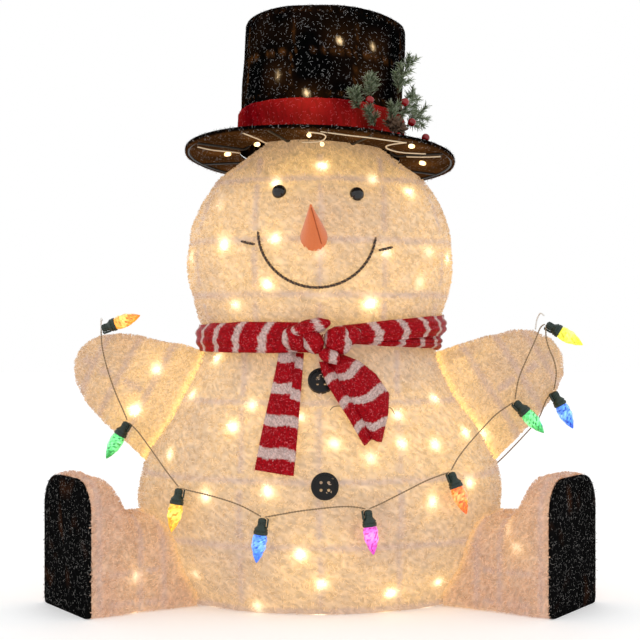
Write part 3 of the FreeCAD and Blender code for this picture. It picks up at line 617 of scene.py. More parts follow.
plush = plush_finish("plush_body", colour(0.22, 0.135, 0.085), colour(0.56, 0.345, 0.115),
                     colour(0.38, 0.29, 0.24))
# The legs get a copy of the body plush: its painted glow colours are redder and its warm glow a little
# dimmer, and its fabric colour is a little lighter and redder.
leg_plush = plush_finish("plush_leg", colour(0.26, 0.125, 0.065), colour(0.52, 0.31, 0.11),
                         colour(0.42, 0.31, 0.24))
black_tinsel = tinsel_finish("tinsel_black", colour(0.0015, 0.0015, 0.0015), colour(0.24, 0.24, 0.24), 0.86,
                             colour(0.10, 0.036, 0.008))
sole_tinsel = tinsel_finish("tinsel_sole", colour(0.005, 0.005, 0.005), colour(0.22, 0.21, 0.20), 0.88,
                            colour(0.05, 0.016, 0.004))
red_tinsel = tinsel_finish("tinsel_red", colour(0.20, 0.002, 0.005), colour(0.62, 0.10, 0.12), 0.90,
                           colour(0.30, 0.02, 0.01))
scarf_tinsel = striped_finish("tinsel_striped")
eye_plastic = solid_finish("plastic_eye", colour(0.006, 0.006, 0.007), colour(0.012, 0.012, 0.013),
                           (0.10, 0.20), bump=0.03, Coat_Weight=0.35, Specular_IOR_Level=0.3)
button_plastic = solid_finish("plastic_button", colour(0.008, 0.008, 0.009),
                              colour(0.010, 0.008, 0.007), (0.22, 0.36), bump=0.06, Specular_IOR_Level=0.22)
nose_felt = solid_finish("felt_nose", colour(0.60, 0.115, 0.012), colour(0.80, 0.19, 0.03),
                         (0.75, 0.92), scale=700.0, bump=0.35, depth=0.0008, Sheen_Weight=0.35)
seam_thread = solid_finish("thread_seam", colour(0.30, 0.05, 0.008), colour(0.42, 0.08, 0.012),
                           (0.7, 0.9), scale=900.0)
smile_dark = solid_finish("rope_dark", colour(0.012, 0.009, 0.008), colour(0.035, 0.026, 0.020),
                          (0.45, 0.65), scale=900.0, bump=0.3)
smile_brown = solid_finish("rope_brown", colour(0.10, 0.050, 0.025), colour(0.20, 0.11, 0.06),
                           (0.5, 0.7), scale=900.0, bump=0.3)
wire_coat = solid_finish("wire_garland", colour(0.17, 0.105, 0.045), colour(0.34, 0.22, 0.11),
                         (0.25, 0.4), scale=500.0, bump=0.05, Coat_Weight=0.3)
socket_plastic = solid_finish("plastic_socket", colour(0.004, 0.014, 0.010), colour(0.010, 0.030, 0.020),
                              (0.28, 0.45), scale=300.0, bump=0.1)
frame_paint = solid_finish("paint_frame", colour(0.70, 0.69, 0.66), colour(0.82, 0.81, 0.78),
                           (0.35, 0.5), scale=120.0, bump=0.1)
grommet_rubber = solid_finish("rubber_grommet", colour(0.30, 0.29, 0.27), colour(0.42, 0.41, 0.38),
                              (0.6, 0.8), scale=400.0, bump=0.2)
for piece in garland.values():
    give(piece, wire_coat)
print(len(bpy.data.materials), "materials")

# %% [markdown]
# ## Plush covers
# Each cover is a skin of plush stretched over its wire frame. A tube with even rows is the best
# start, because its small even faces can hold the soft shadows of the frame wires. The torso and
# head are shrunk onto the measured covers. The arms and legs are shaped from their cross sections.


# %% a cover that is shrunk onto a measured one
def even_tube(name, around, along, length):
    """An open tube of even rows along +Z, one metre in radius."""
    clear()
    bpy.ops.mesh.primitive_cylinder_add(vertices=around, radius=1.0, depth=length,
                                        end_fill_type="NOTHING", location=(0, 0, length / 2))
    piece = settle(named(name))
    pick(piece, "edges", lambda edge: abs(edge.verts[0].co.z - edge.verts[1].co.z) > length / 2)
    bpy.ops.mesh.subdivide(number_cuts=along - 1)
    leave()
    return piece


def close_end(piece, test, rounds):
    """Fills an open end and draws the new face inwards in a few steps."""
    pick(piece, "edges", lambda edge: edge.is_boundary and all(test(v.co) for v in edge.verts))
    bpy.ops.mesh.edge_face_add()
    for thickness, depth in rounds:
        bpy.ops.mesh.inset(thickness=thickness, depth=depth)
    leave()


def hull_of(node):
    """A closed skin round a measured node, for shrinking onto."""
    target = nodes[node].copy()
    target.data = nodes[node].data.copy()
    target.parent = None
    bpy.context.scene.collection.objects.link(target)
    only(target)
    bpy.ops.object.mode_set(mode="EDIT")
    bpy.ops.mesh.select_all(action="SELECT")
    bpy.ops.mesh.remove_doubles(threshold=1e-6)
    bpy.ops.mesh.convex_hull()
    leave()
    return target


def shrunk_cover(name, node, around, along):
    """A tube shrunk onto the hull of a measured cover."""
    low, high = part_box(node)
    piece = even_tube(name, around, along, high.z - low.z - 0.0004)
    piece.scale = ((high.x - low.x) * 0.56, (high.y - low.y) * 0.58, 1.0)
    piece.location = ((high.x + low.x) / 2, (high.y + low.y) / 2, low.z + 0.0002)
    settle(piece)
    target = hull_of(node)
    add_modifier(piece, "SHRINKWRAP", target=target, wrap_method="PROJECT",
                 use_negative_direction=True, use_positive_direction=False)
    bpy.data.objects.remove(target)
    return piece


def ripple(piece, depth, size, seed):
    """Moves the points of a cover in and out a little, as slack fabric lies."""
    co, normals = points_of(piece), normals_of(piece)
    shift = np.array([noise.noise(Vector(p) / size + Vector((seed, 0, 0))) for p in co])
    co += normals * (shift * depth)[:, None]
    co[:, 2] = np.maximum(co[:, 2], 0.0012)
    move_points(piece, co)


torso = shrunk_cover("torso_plush", "torso_cover", 300, 100)
close_end(torso, lambda co: co.z < 0.003, [(0.004, -0.001), (0.05, 0.0)])
ripple(torso, 0.004, 0.06, 3.1)
head = shrunk_cover("head_plush", "head_cover", 250, 84)
ripple(head, 0.003, 0.05, 7.7)
print("torso", len(torso.data.polygons), "and head", len(head.data.polygons), "faces")

# %% covers shaped from their cross sections
ARM_ROOT = (0.232, 0.0, 0.300)
ARM_RAISE = {"left": 28.0, "right": 32.0}
ARM_SECTIONS = [(-36, 96, 65), (0, 94, 61), (70, 76, 54), (125, 58, 44), (152, 40, 30), (163, 22, 16)]
LEG_TURN = 32.0
LEG_FOOT = (0.3805, -0.145)
SOLE_THICK = 0.007
LEG_SECTIONS = [(-175, 137, 150), (-92, 137, 152), (-72, 143, 154), (-58, 158, 157), (-48, 180, 160),
                (-36, 195, 162), (-24, 200, 164), (0, 200, 164)]


def oval_outline(half_long, half_short):
    """Outline of a four-arc oval, as angles and reaches."""
    end_r = 0.85 * half_short
    end_c = half_long - end_r
    side_r = (end_c ** 2 + half_short ** 2 - end_r ** 2) / (2 * (half_short - end_r))
    side_c = side_r - half_short
    slope = math.atan2(side_c, end_c)
    ends = np.linspace(-slope, slope, 40)
    sides = np.linspace(slope, math.pi - slope, 60)
    quarter = np.concatenate([
        np.stack([end_c + end_r * np.cos(ends), end_r * np.sin(ends)], 1),
        np.stack([side_r * np.cos(sides), side_r * np.sin(sides) - side_c], 1)])
    return quarter


def arch_outline(height, width):
    """Outline of a boot's section about its middle: flat below, round shoulders above."""
    half, r, low, high = width / 2, 0.30 * width, -height / 2, height / 2
    foot_r = 6.0
    corners = [(half - foot_r, low + foot_r, foot_r, -90), (half - r, high - r, r, 0),
               (r - half, high - r, r, 90), (foot_r - half, low + foot_r, foot_r, 180)]
    made = []
    for x, y, radius, start in corners:
        for step in range(13):
            turn = math.radians(start + 90 * step / 12)
            made.append((x + radius * math.cos(turn), y + radius * math.sin(turn)))
    line = np.array(made + made[:1])
    along = np.concatenate([[0], np.cumsum(np.linalg.norm(np.diff(line, axis=0), axis=1))])
    even = np.linspace(0, along[-1], 360, endpoint=False)
    return np.stack([np.interp(even, along, line[:, k]) for k in range(2)], 1)


def reach_at(outline, turns):
    """How far an outline is from its middle at each angle."""
    angles = np.arctan2(outline[:, 1], outline[:, 0]) % (2 * math.pi)
    order = np.argsort(angles)
    reach = np.hypot(outline[:, 0], outline[:, 1])[order]
    return np.interp(turns % (2 * math.pi), angles[order], reach, period=2 * math.pi)


def sectioned_cover(name, sections, outline, lift, around, along):
    """A tube shaped by sections along its own +Z."""
    start, end = sections[0][0], sections[-1][0]
    piece = even_tube(name, around, along, (end - start) / 1000)
    co = points_of(piece)
    turns = np.arctan2(co[:, 1], co[:, 0])
    at = np.array([s[0] for s in sections], float)
    for z in np.unique(np.round(co[:, 2], 6)):
        row = np.abs(co[:, 2] - z) < 2e-6
        first = np.interp(z * 1000 + start, at, [s[1] for s in sections])
        second = np.interp(z * 1000 + start, at, [s[2] for s in sections])
        reach = reach_at(outline(first, second), turns[row]) / 1000
        co[row, 0] = reach * np.cos(turns[row])
        co[row, 1] = reach * np.sin(turns[row]) + lift(first, second) / 1000
    co[:, 2] += start / 1000
    move_points(piece, co)
    return piece


def whole_oval(first, second):
    half = oval_outline(first, second)
    return np.concatenate([half, -half])


def arm_place(side):
    """The arm's own frame: +Z along it, +X across it, +Y back."""
    sign = -1 if side == "left" else 1
    raise_by = math.radians(ARM_RAISE[side])
    along = Vector((sign * math.cos(raise_by), 0, math.sin(raise_by)))
    across = Vector((-sign * math.sin(raise_by), 0, math.cos(raise_by)))
    back = along.cross(across)
    turn = Matrix((across, back, along)).transposed().to_4x4()
    return Matrix.Translation((sign * ARM_ROOT[0], ARM_ROOT[1], ARM_ROOT[2])) @ turn


def leg_place(side):
    """The leg's own frame: +Z along it towards the sole, +Y up."""
    sign = -1 if side == "left" else 1
    turn = math.radians(LEG_TURN)
    along = Vector((sign * math.cos(turn), -math.sin(turn), 0))
    up = Vector((0, 0, 1))
    across = up.cross(along)
    base = Vector((sign * LEG_FOOT[0], LEG_FOOT[1], 0)) - along * SOLE_THICK
    return Matrix.Translation(base) @ Matrix((across, up, along)).transposed().to_4x4()


torso_hull = BVHTree.FromObject(torso, bpy.context.evaluated_depsgraph_get())


def trim_inside_torso(piece):
    """Takes away what would lie inside the torso."""
    def inside(face):
        here = face.calc_center_median()
        surface, normal, _, _ = torso_hull.find_nearest(here)
        return (here - surface).dot(normal) < -0.002
    pick(piece, "faces", inside)
    bpy.ops.mesh.delete(type="FACE")
    leave()


arms, legs = {}, {}
for side in ("left", "right"):
    arm = sectioned_cover(f"arm_plush_{side}", ARM_SECTIONS, whole_oval, lambda a, b: 0.0, 130, 56)
    close_end(arm, lambda co: co.z > 0.16, [(0.006, 0.003), (0.006, 0.001)])
    arm.matrix_world = arm_place(side)
    arms[side] = settle(arm)
    leg = sectioned_cover(f"leg_plush_{side}", LEG_SECTIONS, arch_outline,
                          lambda height, width: height / 2, 150, 46)
    leg.matrix_world = leg_place(side)
    legs[side] = settle(leg)
for piece in (*arms.values(), *legs.values()):
    only(piece)
    bpy.ops.object.mode_set(mode="EDIT")
    bpy.ops.mesh.select_all(action="SELECT")
    bpy.ops.mesh.normals_make_consistent(inside=False)
    leave()
    trim_inside_torso(piece)
    ripple(piece, 0.003, 0.045, len(piece.name))
print("arm", len(arms["left"].data.polygons), "and leg", len(legs["left"].data.polygons), "faces")

# %% [markdown]
# ## Light through the plush
# Lights sit a few centimetres behind the plush, so each makes a white spot with a golden halo, and
# the frame wires between them and the plush make soft lines. How near each point is to them is
# worked out once from the measured lights and wires, and stored on the mesh for the material.

# %% how near the lights and wires are
rng = np.random.default_rng(20)


def brightness_of(leds, favourites):
    """How bright each light looks from outside. Some face the plush squarely."""
    bright = rng.uniform(0.15, 0.75, len(leds))
    for x, z, strength in favourites:
        front = np.where(leds[:, 1] < 0.02, 0, 1)
        nearest = np.argmin(np.hypot(leds[:, 0] - x, leds[:, 2] - z) + front)
        bright[nearest] = strength
    return bright


def wire_tree(names):
    """One search tree over several measured wires."""
    verts, faces = [], []
    for name in names:
        mesh = nodes[name].data
        first = len(verts)
        verts += [v.co.copy() for v in mesh.vertices]
        mesh.calc_loop_triangles()
        faces += [[first + i for i in t.vertices] for t in mesh.loop_triangles]
    return BVHTree.FromPolygons(verts, faces)


def aside_of(wires, point, normal, depth):
    """How far to the side of a point, seen along its normal, the nearest wire runs."""
    found = wires.find_nearest(Vector(point), depth)[0]
    if found is None:
        return None
    towards = np.array(found) - point
    return np.linalg.norm(towards - normal * towards.dot(normal))


HALO_REACH, CORE_REACH, GLOW_REACH = 0.0125, 0.0062, 0.050
DEEPEST_LIGHT = 0.075
SEAM_REACH = 0.0075


def light_marks(points, normals, leds, bright, wires, depth, width, base, seam):
    """Glow, halo, core and wire shadow at points of a cover."""
    glow = np.full(len(points), base)
    halo, core = np.zeros(len(points)), np.zeros(len(points))
    for led, strength in zip(leds, bright):
        towards = led - points
        into_cover = -(towards * normals).sum(1)
        aside = np.linalg.norm(towards + normals * into_cover[:, None], axis=1)
        near = (into_cover > 0) & (into_cover < DEEPEST_LIGHT)
        halo += near * strength * 0.65 * np.exp(-(aside / HALO_REACH) ** 2)
        core += near * np.clip(strength - 0.15, 0, 1) * np.exp(-(aside / CORE_REACH) ** 2)
        glow += near * 0.40 * (0.4 + strength) * np.exp(-(aside / GLOW_REACH) ** 2)
    wire = np.zeros(len(points))
    for i, (point, normal) in enumerate(zip(points, normals)):
        aside = aside_of(wires, point, normal, depth)
        if aside is not None:
            wire[i] = min(max(1.35 - aside / width, 0), 1)
    # Painted glow and halo along the seam where a limb meets the torso.
    if seam:
        for i, point in enumerate(points):
            away = (torso_hull.find_nearest(Vector(point))[3] or 1.0) / SEAM_REACH
            halo[i] += seam * math.exp(-away * away)
            glow[i] += seam * math.exp(-away / 5)
    mottle = np.array([noise.noise(Vector(p) / 0.035) for p in points])
    return {"glow": np.clip(glow + 0.16 * mottle, 0, 1), "halo": np.clip(halo, 0, 1.2),
            "core": np.clip(core, 0, 1), "wire": wire * (0.75 + 0.25 * mottle)}


torso_bright = brightness_of(torso_leds, [
    (-0.028, 0.103, 1.0), (-0.004, 0.064, 0.8), (0.105, 0.056, 1.0), (0.181, 0.07, 0.7),
    (-0.127, 0.268, 0.85), (-0.153, 0.37, 0.7), (0.168, 0.249, 0.8), (0.118, 0.286, 0.7),
    (0.098, 0.241, 0.7), (-0.01, 0.187, 0.75), (0.177, 0.17, 0.6), (-0.167, 0.176, 0.6)])
head_bright = brightness_of(head_leds, [
    (0.003, 0.655, 1.0), (0.076, 0.468, 1.0), (-0.142, 0.542, 0.85), (-0.082, 0.498, 0.8),
    (0.143, 0.611, 0.7), (0.160, 0.534, 0.75), (-0.074, 0.627, 0.8), (0.184, 0.526, 0.7)])
torso_wires = wire_tree(["torso_hoops", "torso_uprights"])
head_wires = wire_tree(["head_hoops", "head_uprights"])
print("brightest", round(float(torso_bright.max()), 2))

# %% lights in the arms and legs, which the wires inside them carry
LIMB_LEDS = {
    "arm_left": [(-0.283, 0.300, 1.0), (-0.255, 0.352, 0.6), (-0.245, 0.225, 0.7)],
    "arm_right": [(0.213, 0.383, 0.8), (0.245, 0.262, 0.5)],
    "leg_left": [(-0.285, 0.055, 0.35), (-0.2, 0.075, 0.6)],
    "leg_right": [(0.225, 0.020, 0.9), (0.315, 0.10, 0.3)]}


def limb_lights(name, depth):
    """Lights that show through a limb's front, a little behind it."""
    spots = LIMB_LEDS[name]
    return np.array([(x, -depth, z) for x, z, _ in spots]), np.array([s for _, _, s in spots])


COVERS = {}


def light_cover(piece, leds, bright, wires, depth, width, base=0.30, seam=0.0, finish=plush):
    """Marks a cover, gives it its finish and keeps what its pile needs."""
    def marks(points, normals):
        return light_marks(points, normals, leds, bright, wires, depth, width, base, seam)
    points, normals = points_of(piece), normals_of(piece)
    for key, values in marks(points, normals).items():
        mark(piece, key, values)
    mark(piece, "tone", np.clip(0.42 + 0.25 * rng.standard_normal(len(points)), 0, 1))
    give(piece, finish)
    smoothed(piece)
    COVERS[piece.name] = marks


light_cover(torso, torso_leds, torso_bright, torso_wires, 0.022, 0.0042)
light_cover(head, head_leds, head_bright, head_wires, 0.022, 0.0042)
for side in ("left", "right"):
    spots, strengths = limb_lights(f"arm_{side}", 0.03)
    light_cover(arms[side], spots, strengths, wire_tree([f"arm_frame_{side}"]), 0.075, 0.0050,
                base=0.40, seam=0.6)
    spots, strengths = limb_lights(f"leg_{side}", 0.15)
    light_cover(legs[side], spots, strengths, wire_tree([f"leg_frame_{side}"]), 0.030, 0.0042,
                base=0.02, seam=0.25, finish=leg_plush)
for piece, body, node in [(torso, "torso", "torso_cover"), (head, "head", "head_cover"),
                          (arms["left"], "arm_left", "arm_cover_left"),
                          (arms["right"], "arm_right", "arm_cover_right"),
                          (legs["left"], "leg_left", "leg_cover_left"),
                          (legs["right"], "leg_right", "leg_cover_right")]:
    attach(piece, body)
    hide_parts(node)
print(len(COVERS), "covers are lit")

# %% [markdown]
# ## Curly pile
# Plush like this is thousands of short curly fibres. One curl is modelled as a narrow ribbon and
# copied all over the covers, each copy turned and sized by a seeded random draw. A curl has only a
# few faces, so that tens of thousands of them stay light.


# %% one curl, one strand of tinsel
def taken_apart(piece):
    """The points and triangles of a model. The model itself goes."""
    shape = bmesh.new()
    shape.from_mesh(piece.data)
    bmesh.ops.triangulate(shape, faces=shape.faces)
    verts = np.array([v.co[:] for v in shape.verts])
    faces = np.array([[v.index for v in f.verts] for f in shape.faces])
    shape.free()
    bpy.data.objects.remove(piece)
    return verts, faces


def ribbon(name, width, steps, narrowing=0.9):
    """A narrow ribbon from the origin, extruded through steps."""
    clear()
    bpy.ops.mesh.primitive_plane_add(size=1.0)
    piece = named(name)
    piece.scale = (width, steps[0].length, 1)
    settle(piece)
    co = points_of(piece)
    co[:, 1] += steps[0].length / 2
    move_points(piece, co)
    pick(piece, "verts", lambda v: v.co.y > steps[0].length / 2)
    shape = bmesh.from_edit_mesh(piece.data)
    for vert in shape.verts:
        if vert.select:
            vert.co = Vector((vert.co.x, steps[0].y, steps[0].z))
    bmesh.update_edit_mesh(piece.data)
    for step in steps[1:]:
        bpy.ops.mesh.extrude_region_move(TRANSFORM_OT_translate={"value": step})
        bpy.ops.transform.resize(value=(narrowing, 1, 1))
    leave()
    return taken_apart(piece)


def step_mm(x, y, z):
    return Vector((x, y, z)) / 1000


CURL = ribbon("curl", 0.00095, [step_mm(0, 0.9, 2.4), step_mm(0.8, 1.9, 1.4), step_mm(1.4, 1.5, -1.0),
                                step_mm(0.6, -1.4, -1.2), step_mm(-1.5, -1.3, 0.9)])
STRAND = ribbon("strand", 0.0006, [step_mm(0.4, 5.0, 0.9)])
print("curl", len(CURL[1]), "faces, strand", len(STRAND[1]), "faces")


# %% strewing copies over a surface
def surface_spots(piece, count, keep, seed):
    """Random places on a mesh, as likely in any part of its area, with the faces' normals."""
    draw = np.random.default_rng(seed)
    mesh = piece.data
    mesh.calc_loop_triangles()
    corners = np.empty(len(mesh.loop_triangles) * 3, np.int32)
    mesh.loop_triangles.foreach_get("vertices", corners)
    co = points_of(piece)
    tri = co[corners.reshape(-1, 3)]
    cross = np.cross(tri[:, 1] - tri[:, 0], tri[:, 2] - tri[:, 0])
    area = np.linalg.norm(cross, axis=1) / 2
    chosen = draw.choice(len(tri), count, p=area / area.sum())
    a, b = draw.random(count), draw.random(count)
    flip = a + b > 1
    a[flip], b[flip] = 1 - a[flip], 1 - b[flip]
    spots = (tri[chosen, 0] + a[:, None] * (tri[chosen, 1] - tri[chosen, 0])
             + b[:, None] * (tri[chosen, 2] - tri[chosen, 0]))
    normals = unit(cross[chosen])
    kept = keep(spots, normals)
    return spots[kept], normals[kept], corners.reshape(-1, 3)[chosen][kept, 0]


FLOOR_GAP = 0.0008


def strew(name, shape, spots, normals, seed, sizes=(0.7, 1.25), lie=0.0):
    """One mesh of many copies of a shape that stand along the normals. lie tips them over."""
    draw = np.random.default_rng(seed)
    count = len(spots)
    verts, faces = shape
    sideways = unit(np.cross(normals, draw.standard_normal((count, 3))))
    up = unit(normals + lie * draw.uniform(-1, 1, (count, 1)) * sideways)
    forward = unit(np.cross(sideways, up))
    size = draw.uniform(*sizes, count)
    all_verts = (spots[:, None] + size[:, None, None] * (
        verts[None, :, 0, None] * sideways[:, None] + verts[None, :, 1, None] * forward[:, None]
        + verts[None, :, 2, None] * up[:, None]))
    all_verts[..., 2] = np.maximum(all_verts[..., 2], FLOOR_GAP)
    all_faces = faces[None] + (np.arange(count) * len(verts))[:, None, None]
    piece = mesh_piece(name, all_verts.reshape(-1, 3), all_faces.reshape(-1, 3))
    mark(piece, "tone", np.repeat(draw.random(count), len(verts)))
    return piece, len(verts)


def grow_pile(cover, name, count, keep, seed, body, parts=1):
    """Covers a plush skin in curls that carry the same light marks as the skin under them."""
    spots, normals, _ = surface_spots(cover, count, keep, seed)
    marks = COVERS[cover.name](spots, normals)
    order = np.argsort(spots[:, 1]) if parts > 1 else np.arange(len(spots))
    made = []
    for part, group in enumerate(np.array_split(order, parts)):
        label = name if parts == 1 else f"{name}_{part + 1}"
        pile, each = strew(label, CURL, spots[group], normals[group], seed + 1 + part, lie=0.5)
        for key, values in marks.items():
            mark(pile, key, np.repeat(values[group], each))
        give(pile, cover.data.materials[0])
        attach(pile, body)
        made.append(pile)
    return made


piles = grow_pile(torso, "torso_pile", 36000, lambda p, n: (p[:, 2] > 0.004) & (n[:, 2] > -0.9),
                  101, "torso", parts=3)
piles += grow_pile(head, "head_pile", 21500, lambda p, n: p[:, 2] < 0.722, 201, "head", parts=2)
for offset, side in enumerate(("left", "right")):
    piles += grow_pile(arms[side], f"arm_pile_{side}", 8500, lambda p, n: p[:, 2] > 0, 301 + offset,
                       f"arm_{side}")
    piles += grow_pile(legs[side], f"leg_pile_{side}", 8500,
                       lambda p, n: (p[:, 2] > 0.004) & (n[:, 2] > -0.9), 401 + offset, f"leg_{side}")
print("pile", sum(len(p.data.polygons) for p in piles), "faces")

# %% [markdown]
# ## Hat
# The hat is stiff tinsel fabric over a frame: a crown, a brim with its edge turned down, and a
# red band. Rings are extruded from circles, because a turned shape with a few soft rings can then
# be dented a little by noise. Everything is made upright at the origin, and one matrix puts it on
# the head.

# %% hat shapes
HAT = (Matrix.Translation((0, 0, 0.696)) @ Matrix.Rotation(math.radians(2.5), 4, "Y")
       @ Matrix.Rotation(math.radians(-6.0), 4, "X"))
HAT_AXIS = np.array(HAT.to_3x3() @ Vector((0, 0, 1)))
HAT_TURN = np.array(HAT.to_3x3())


def ringed(name, segments, rings, wall=None):
    """A turned shape: the first ring is a circle, and each next one is extruded from it."""
    clear()
    bpy.ops.mesh.primitive_circle_add(vertices=segments, radius=rings[0][0], location=(0, 0, rings[0][1]))
    piece = settle(named(name))
    bpy.ops.object.mode_set(mode="EDIT")
    bpy.ops.mesh.select_all(action="SELECT")
    for (before, low), (after, high) in zip(rings, rings[1:]):
        bpy.ops.mesh.extrude_region_move(TRANSFORM_OT_translate={"value": (0, 0, high - low)})
        bpy.ops.transform.resize(value=(after / before, after / before, 1))
    if rings[-1][0] < 0.004:
        bpy.ops.mesh.merge(type="CENTER")
    bpy.ops.mesh.select_all(action="SELECT")
    bpy.ops.mesh.normals_make_consistent(inside=False)
    leave()
    if wall:
        add_modifier(piece, "SOLIDIFY", thickness=wall, offset=-1.0)
    return piece


def facing_along(direction):
    """The turn that points a piece's +Z along a direction."""
    return direction.to_track_quat("Z", "Y").to_matrix().to_4x4()


def put(piece, place):
    piece.matrix_world = place
    return settle(piece)


crown = ringed("hat_crown_cloth", 200, [(0.1287 - 0.002 * k / 24, 0.0005 + 0.200 * k / 24) for k in range(25)]
               + [(0.1250, 0.2050), (0.1215, 0.2072), (0.095, 0.2076), (0.06, 0.2074), (0.03, 0.2072),
                  (0.002, 0.2072)], 0.003)
brim = ringed("hat_brim_cloth", 200, [(0.1280, -0.0022), (0.140, -0.0024), (0.155, -0.0026),
                                      (0.170, -0.0026), (0.185, -0.0024), (0.198, -0.0020),
                                      (0.208, -0.0014), (0.2125, -0.0012), (0.2140, -0.0032),
                                      (0.2142, -0.0062), (0.2132, -0.0090), (0.2110, -0.0100)], 0.0026)
band = ringed("hat_band_cloth", 220, [(0.1300, 0.0015), (0.1322, 0.004), (0.1328, 0.014), (0.1322, 0.026),
                                      (0.1328, 0.038), (0.1322, 0.050), (0.1318, 0.057), (0.1300, 0.0600)],
              0.0016)
for piece, depth, size, seed in ((crown, 0.0022, 0.07, 1.0), (brim, 0.0015, 0.08, 2.0),
                                 (band, 0.0014, 0.02, 3.0)):
    ripple_co = points_of(piece)
    shift = np.array([noise.noise(Vector(p) / size + Vector((0, seed, 0))) for p in ripple_co])
    move_points(piece, ripple_co + normals_of(piece) * (shift * depth)[:, None])
    put(piece, HAT)
print("hat cloth", len(crown.data.polygons) + len(brim.data.polygons), "faces")


# %% tinsel on the hat
hat_wires = wire_tree(["hat_frame"])


def tinsel_marks(points, normals, leds, reach, spot, base_glow):
    """Where light from inside comes through tinsel cloth."""
    glow, core = np.zeros(len(points)), np.zeros(len(points))
    for led in leds:
        towards = led - points
        aside = np.linalg.norm(towards - normals * (towards * normals).sum(1)[:, None], axis=1)
        away = np.abs((towards * normals).sum(1))
        near = away < 0.05
        glow += near * np.exp(-(aside / reach) ** 2)
        core += near * np.exp(-(aside / spot) ** 2)
    mottle = np.array([noise.noise(Vector(p) / 0.045) for p in points])
    return {"glow": np.clip(base_glow + 0.8 * glow + 0.3 * mottle, 0, 1.6), "core": np.clip(core, 0, 1)}


def tinselled(cloth, count, seed, material, body, marks, keep=None, sizes=(0.7, 1.3), lie=1.6):
    """A tinsel cloth and the strands on it."""
    for key, values in marks(points_of(cloth), normals_of(cloth)).items():
        mark(cloth, key, values)
    mark(cloth, "tone", rng.random(len(cloth.data.vertices)) * 0.85)
    give(cloth, material)
    keep = keep or (lambda p, n: p[:, 2] > 0)
    spots, normals, corners = surface_spots(cloth, count, keep, seed)
    strands, each = strew(cloth.name.replace("_cloth", "") + "_strands", STRAND, spots, normals,
                          seed + 5, sizes=sizes, lie=lie)
    for key, values in marks(spots, normals).items():
        mark(strands, key, np.repeat(values, each))
    if "stripe" in cloth.data.attributes:
        stripe = np.empty(len(cloth.data.vertices), np.float32)
        cloth.data.attributes["stripe"].data.foreach_get("value", stripe)
        mark(strands, "stripe", np.repeat(stripe[corners], each))
    give(strands, material)
    for piece in (cloth, strands):
        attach(piece, body)


def crown_marks(points, normals):
    local = (points - np.array(HAT.translation)) @ HAT_TURN
    side = np.hypot(local[:, 0], local[:, 1]) > 0.12
    found = tinsel_marks(points, normals, hat_leds, 0.020, 0.0030, 0.06)
    found["core"] = found["core"] * 0.8
    # Painted glow on the crown's side: broken lines along the frame wires and a weaker glow near the lights.
    # The top gets only a trace.
    lines = np.zeros(len(points))
    for i, (point, normal) in enumerate(zip(points, normals)):
        aside = aside_of(hat_wires, point, normal, 0.016)
        if aside is not None:
            gaps = noise.noise(Vector(point) / 0.006)
            lines[i] = math.exp(-(aside / 0.0013) ** 2) * max(0.15 + 1.7 * gaps, 0)
    found["glow"] = np.where(side, 0.26 * found["glow"] + 1.2 * lines, 0.02)
    return found


def brim_marks(points, normals):
    found = tinsel_marks(points, normals, hat_leds, 0.018, 0.003, 0.12)
    # Painted warm glow over the whole underside of the brim, where the lamps hang; the top keeps only a trace
    # of it.
    under = normals @ HAT_AXIS < -0.3
    found["core"] = np.zeros(len(points))
    found["glow"] = np.where(under, 0.35 + found["glow"], found["glow"] * 0.08)
    return found


def band_marks(points, normals):
    return tinsel_marks(points, normals, hat_leds, 0.03, 0.002, 0.15)


def outer_side(p, n):
    """Only the outer wall of the crown or band, not its lining."""
    local = (p - np.array(HAT.translation)) @ HAT_TURN
    facing = n @ HAT_TURN
    radial = local[:, :2] / np.maximum(np.hypot(local[:, 0], local[:, 1])[:, None], 1e-6)
    return ((facing[:, :2] * radial).sum(1) > 0.3) | ((facing[:, 2] > 0.5) & (local[:, 2] > 0.18))


tinselled(crown, 84000, 501, black_tinsel, "hat", crown_marks, outer_side, sizes=(0.40, 0.8))
tinselled(brim, 36000, 521, black_tinsel, "hat", brim_marks, sizes=(0.45, 0.95))
tinselled(band, 26000, 541, red_tinsel, "hat", band_marks, outer_side, sizes=(0.35, 0.7))
for piece, node in ((crown, "hat_crown"), (brim, "hat_brim"), (band, "hat_band")):
    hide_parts(node)
print("hat covered in tinsel")

# %% [markdown]
# ## Lights and wires under the brim
# A few lights hang under the brim on a pale wire that is clipped here and there. The wires are
# thin strands through smooth curves. Each light is a small clear capsule.

# %% the brim's wires, in the hat's own millimetres
BRIM_WIRES = [
    [(-115, -172, -9), (-102, -160, -11), (-91, -142, -11), (-84, -122, -11), (-80, -112, -10)],
    [(-190, -58, -8), (-172, -54, -11), (-157, -50, -11), (-136, -50, -12), (-124, -40, -11)],
    [(-18, -196, -9), (-5, -202, -11), (6, -199, -12), (9, -186, -13), (4, -160, -13),
     (-10, -142, -12), (-27, -131, -10)],
    [(0, -203, -9), (34, -196, -11), (72, -186, -11), (102, -172, -11), (128, -158, -10)],
    [(128, -160, -10), (110, -152, -11), (97, -138, -12), (102, -118, -12), (122, -98, -12),
     (148, -92, -11), (162, -88, -10)],
    [(134, -62, -10), (161, -66, -11), (186, -70, -9)]]
BRIM_LAMPS = [(-16, -192, -13), (-92, -118, -13), (-139, -42, -13), (133, -150, -13), (156, -38, -13),
              (3, -134, -12)]


def in_hat(point):
    return HAT @ metres(point)


def joined(name, pieces):
    """Several pieces as one."""
    clear()
    for piece in pieces:
        piece.select_set(True)
    bpy.context.view_layer.objects.active = pieces[0]
    if len(pieces) > 1:
        bpy.ops.object.join()
    return named(name)


WIRE_SIDES = 6


def thin_wire(name, points, radius, step=0.003):
    """A thin round wire through a smooth curve."""
    centres, _ = even_steps(smooth_line(name, points), step)
    return mesh_piece(name, *strand_arrays(centres, radius, WIRE_SIDES))


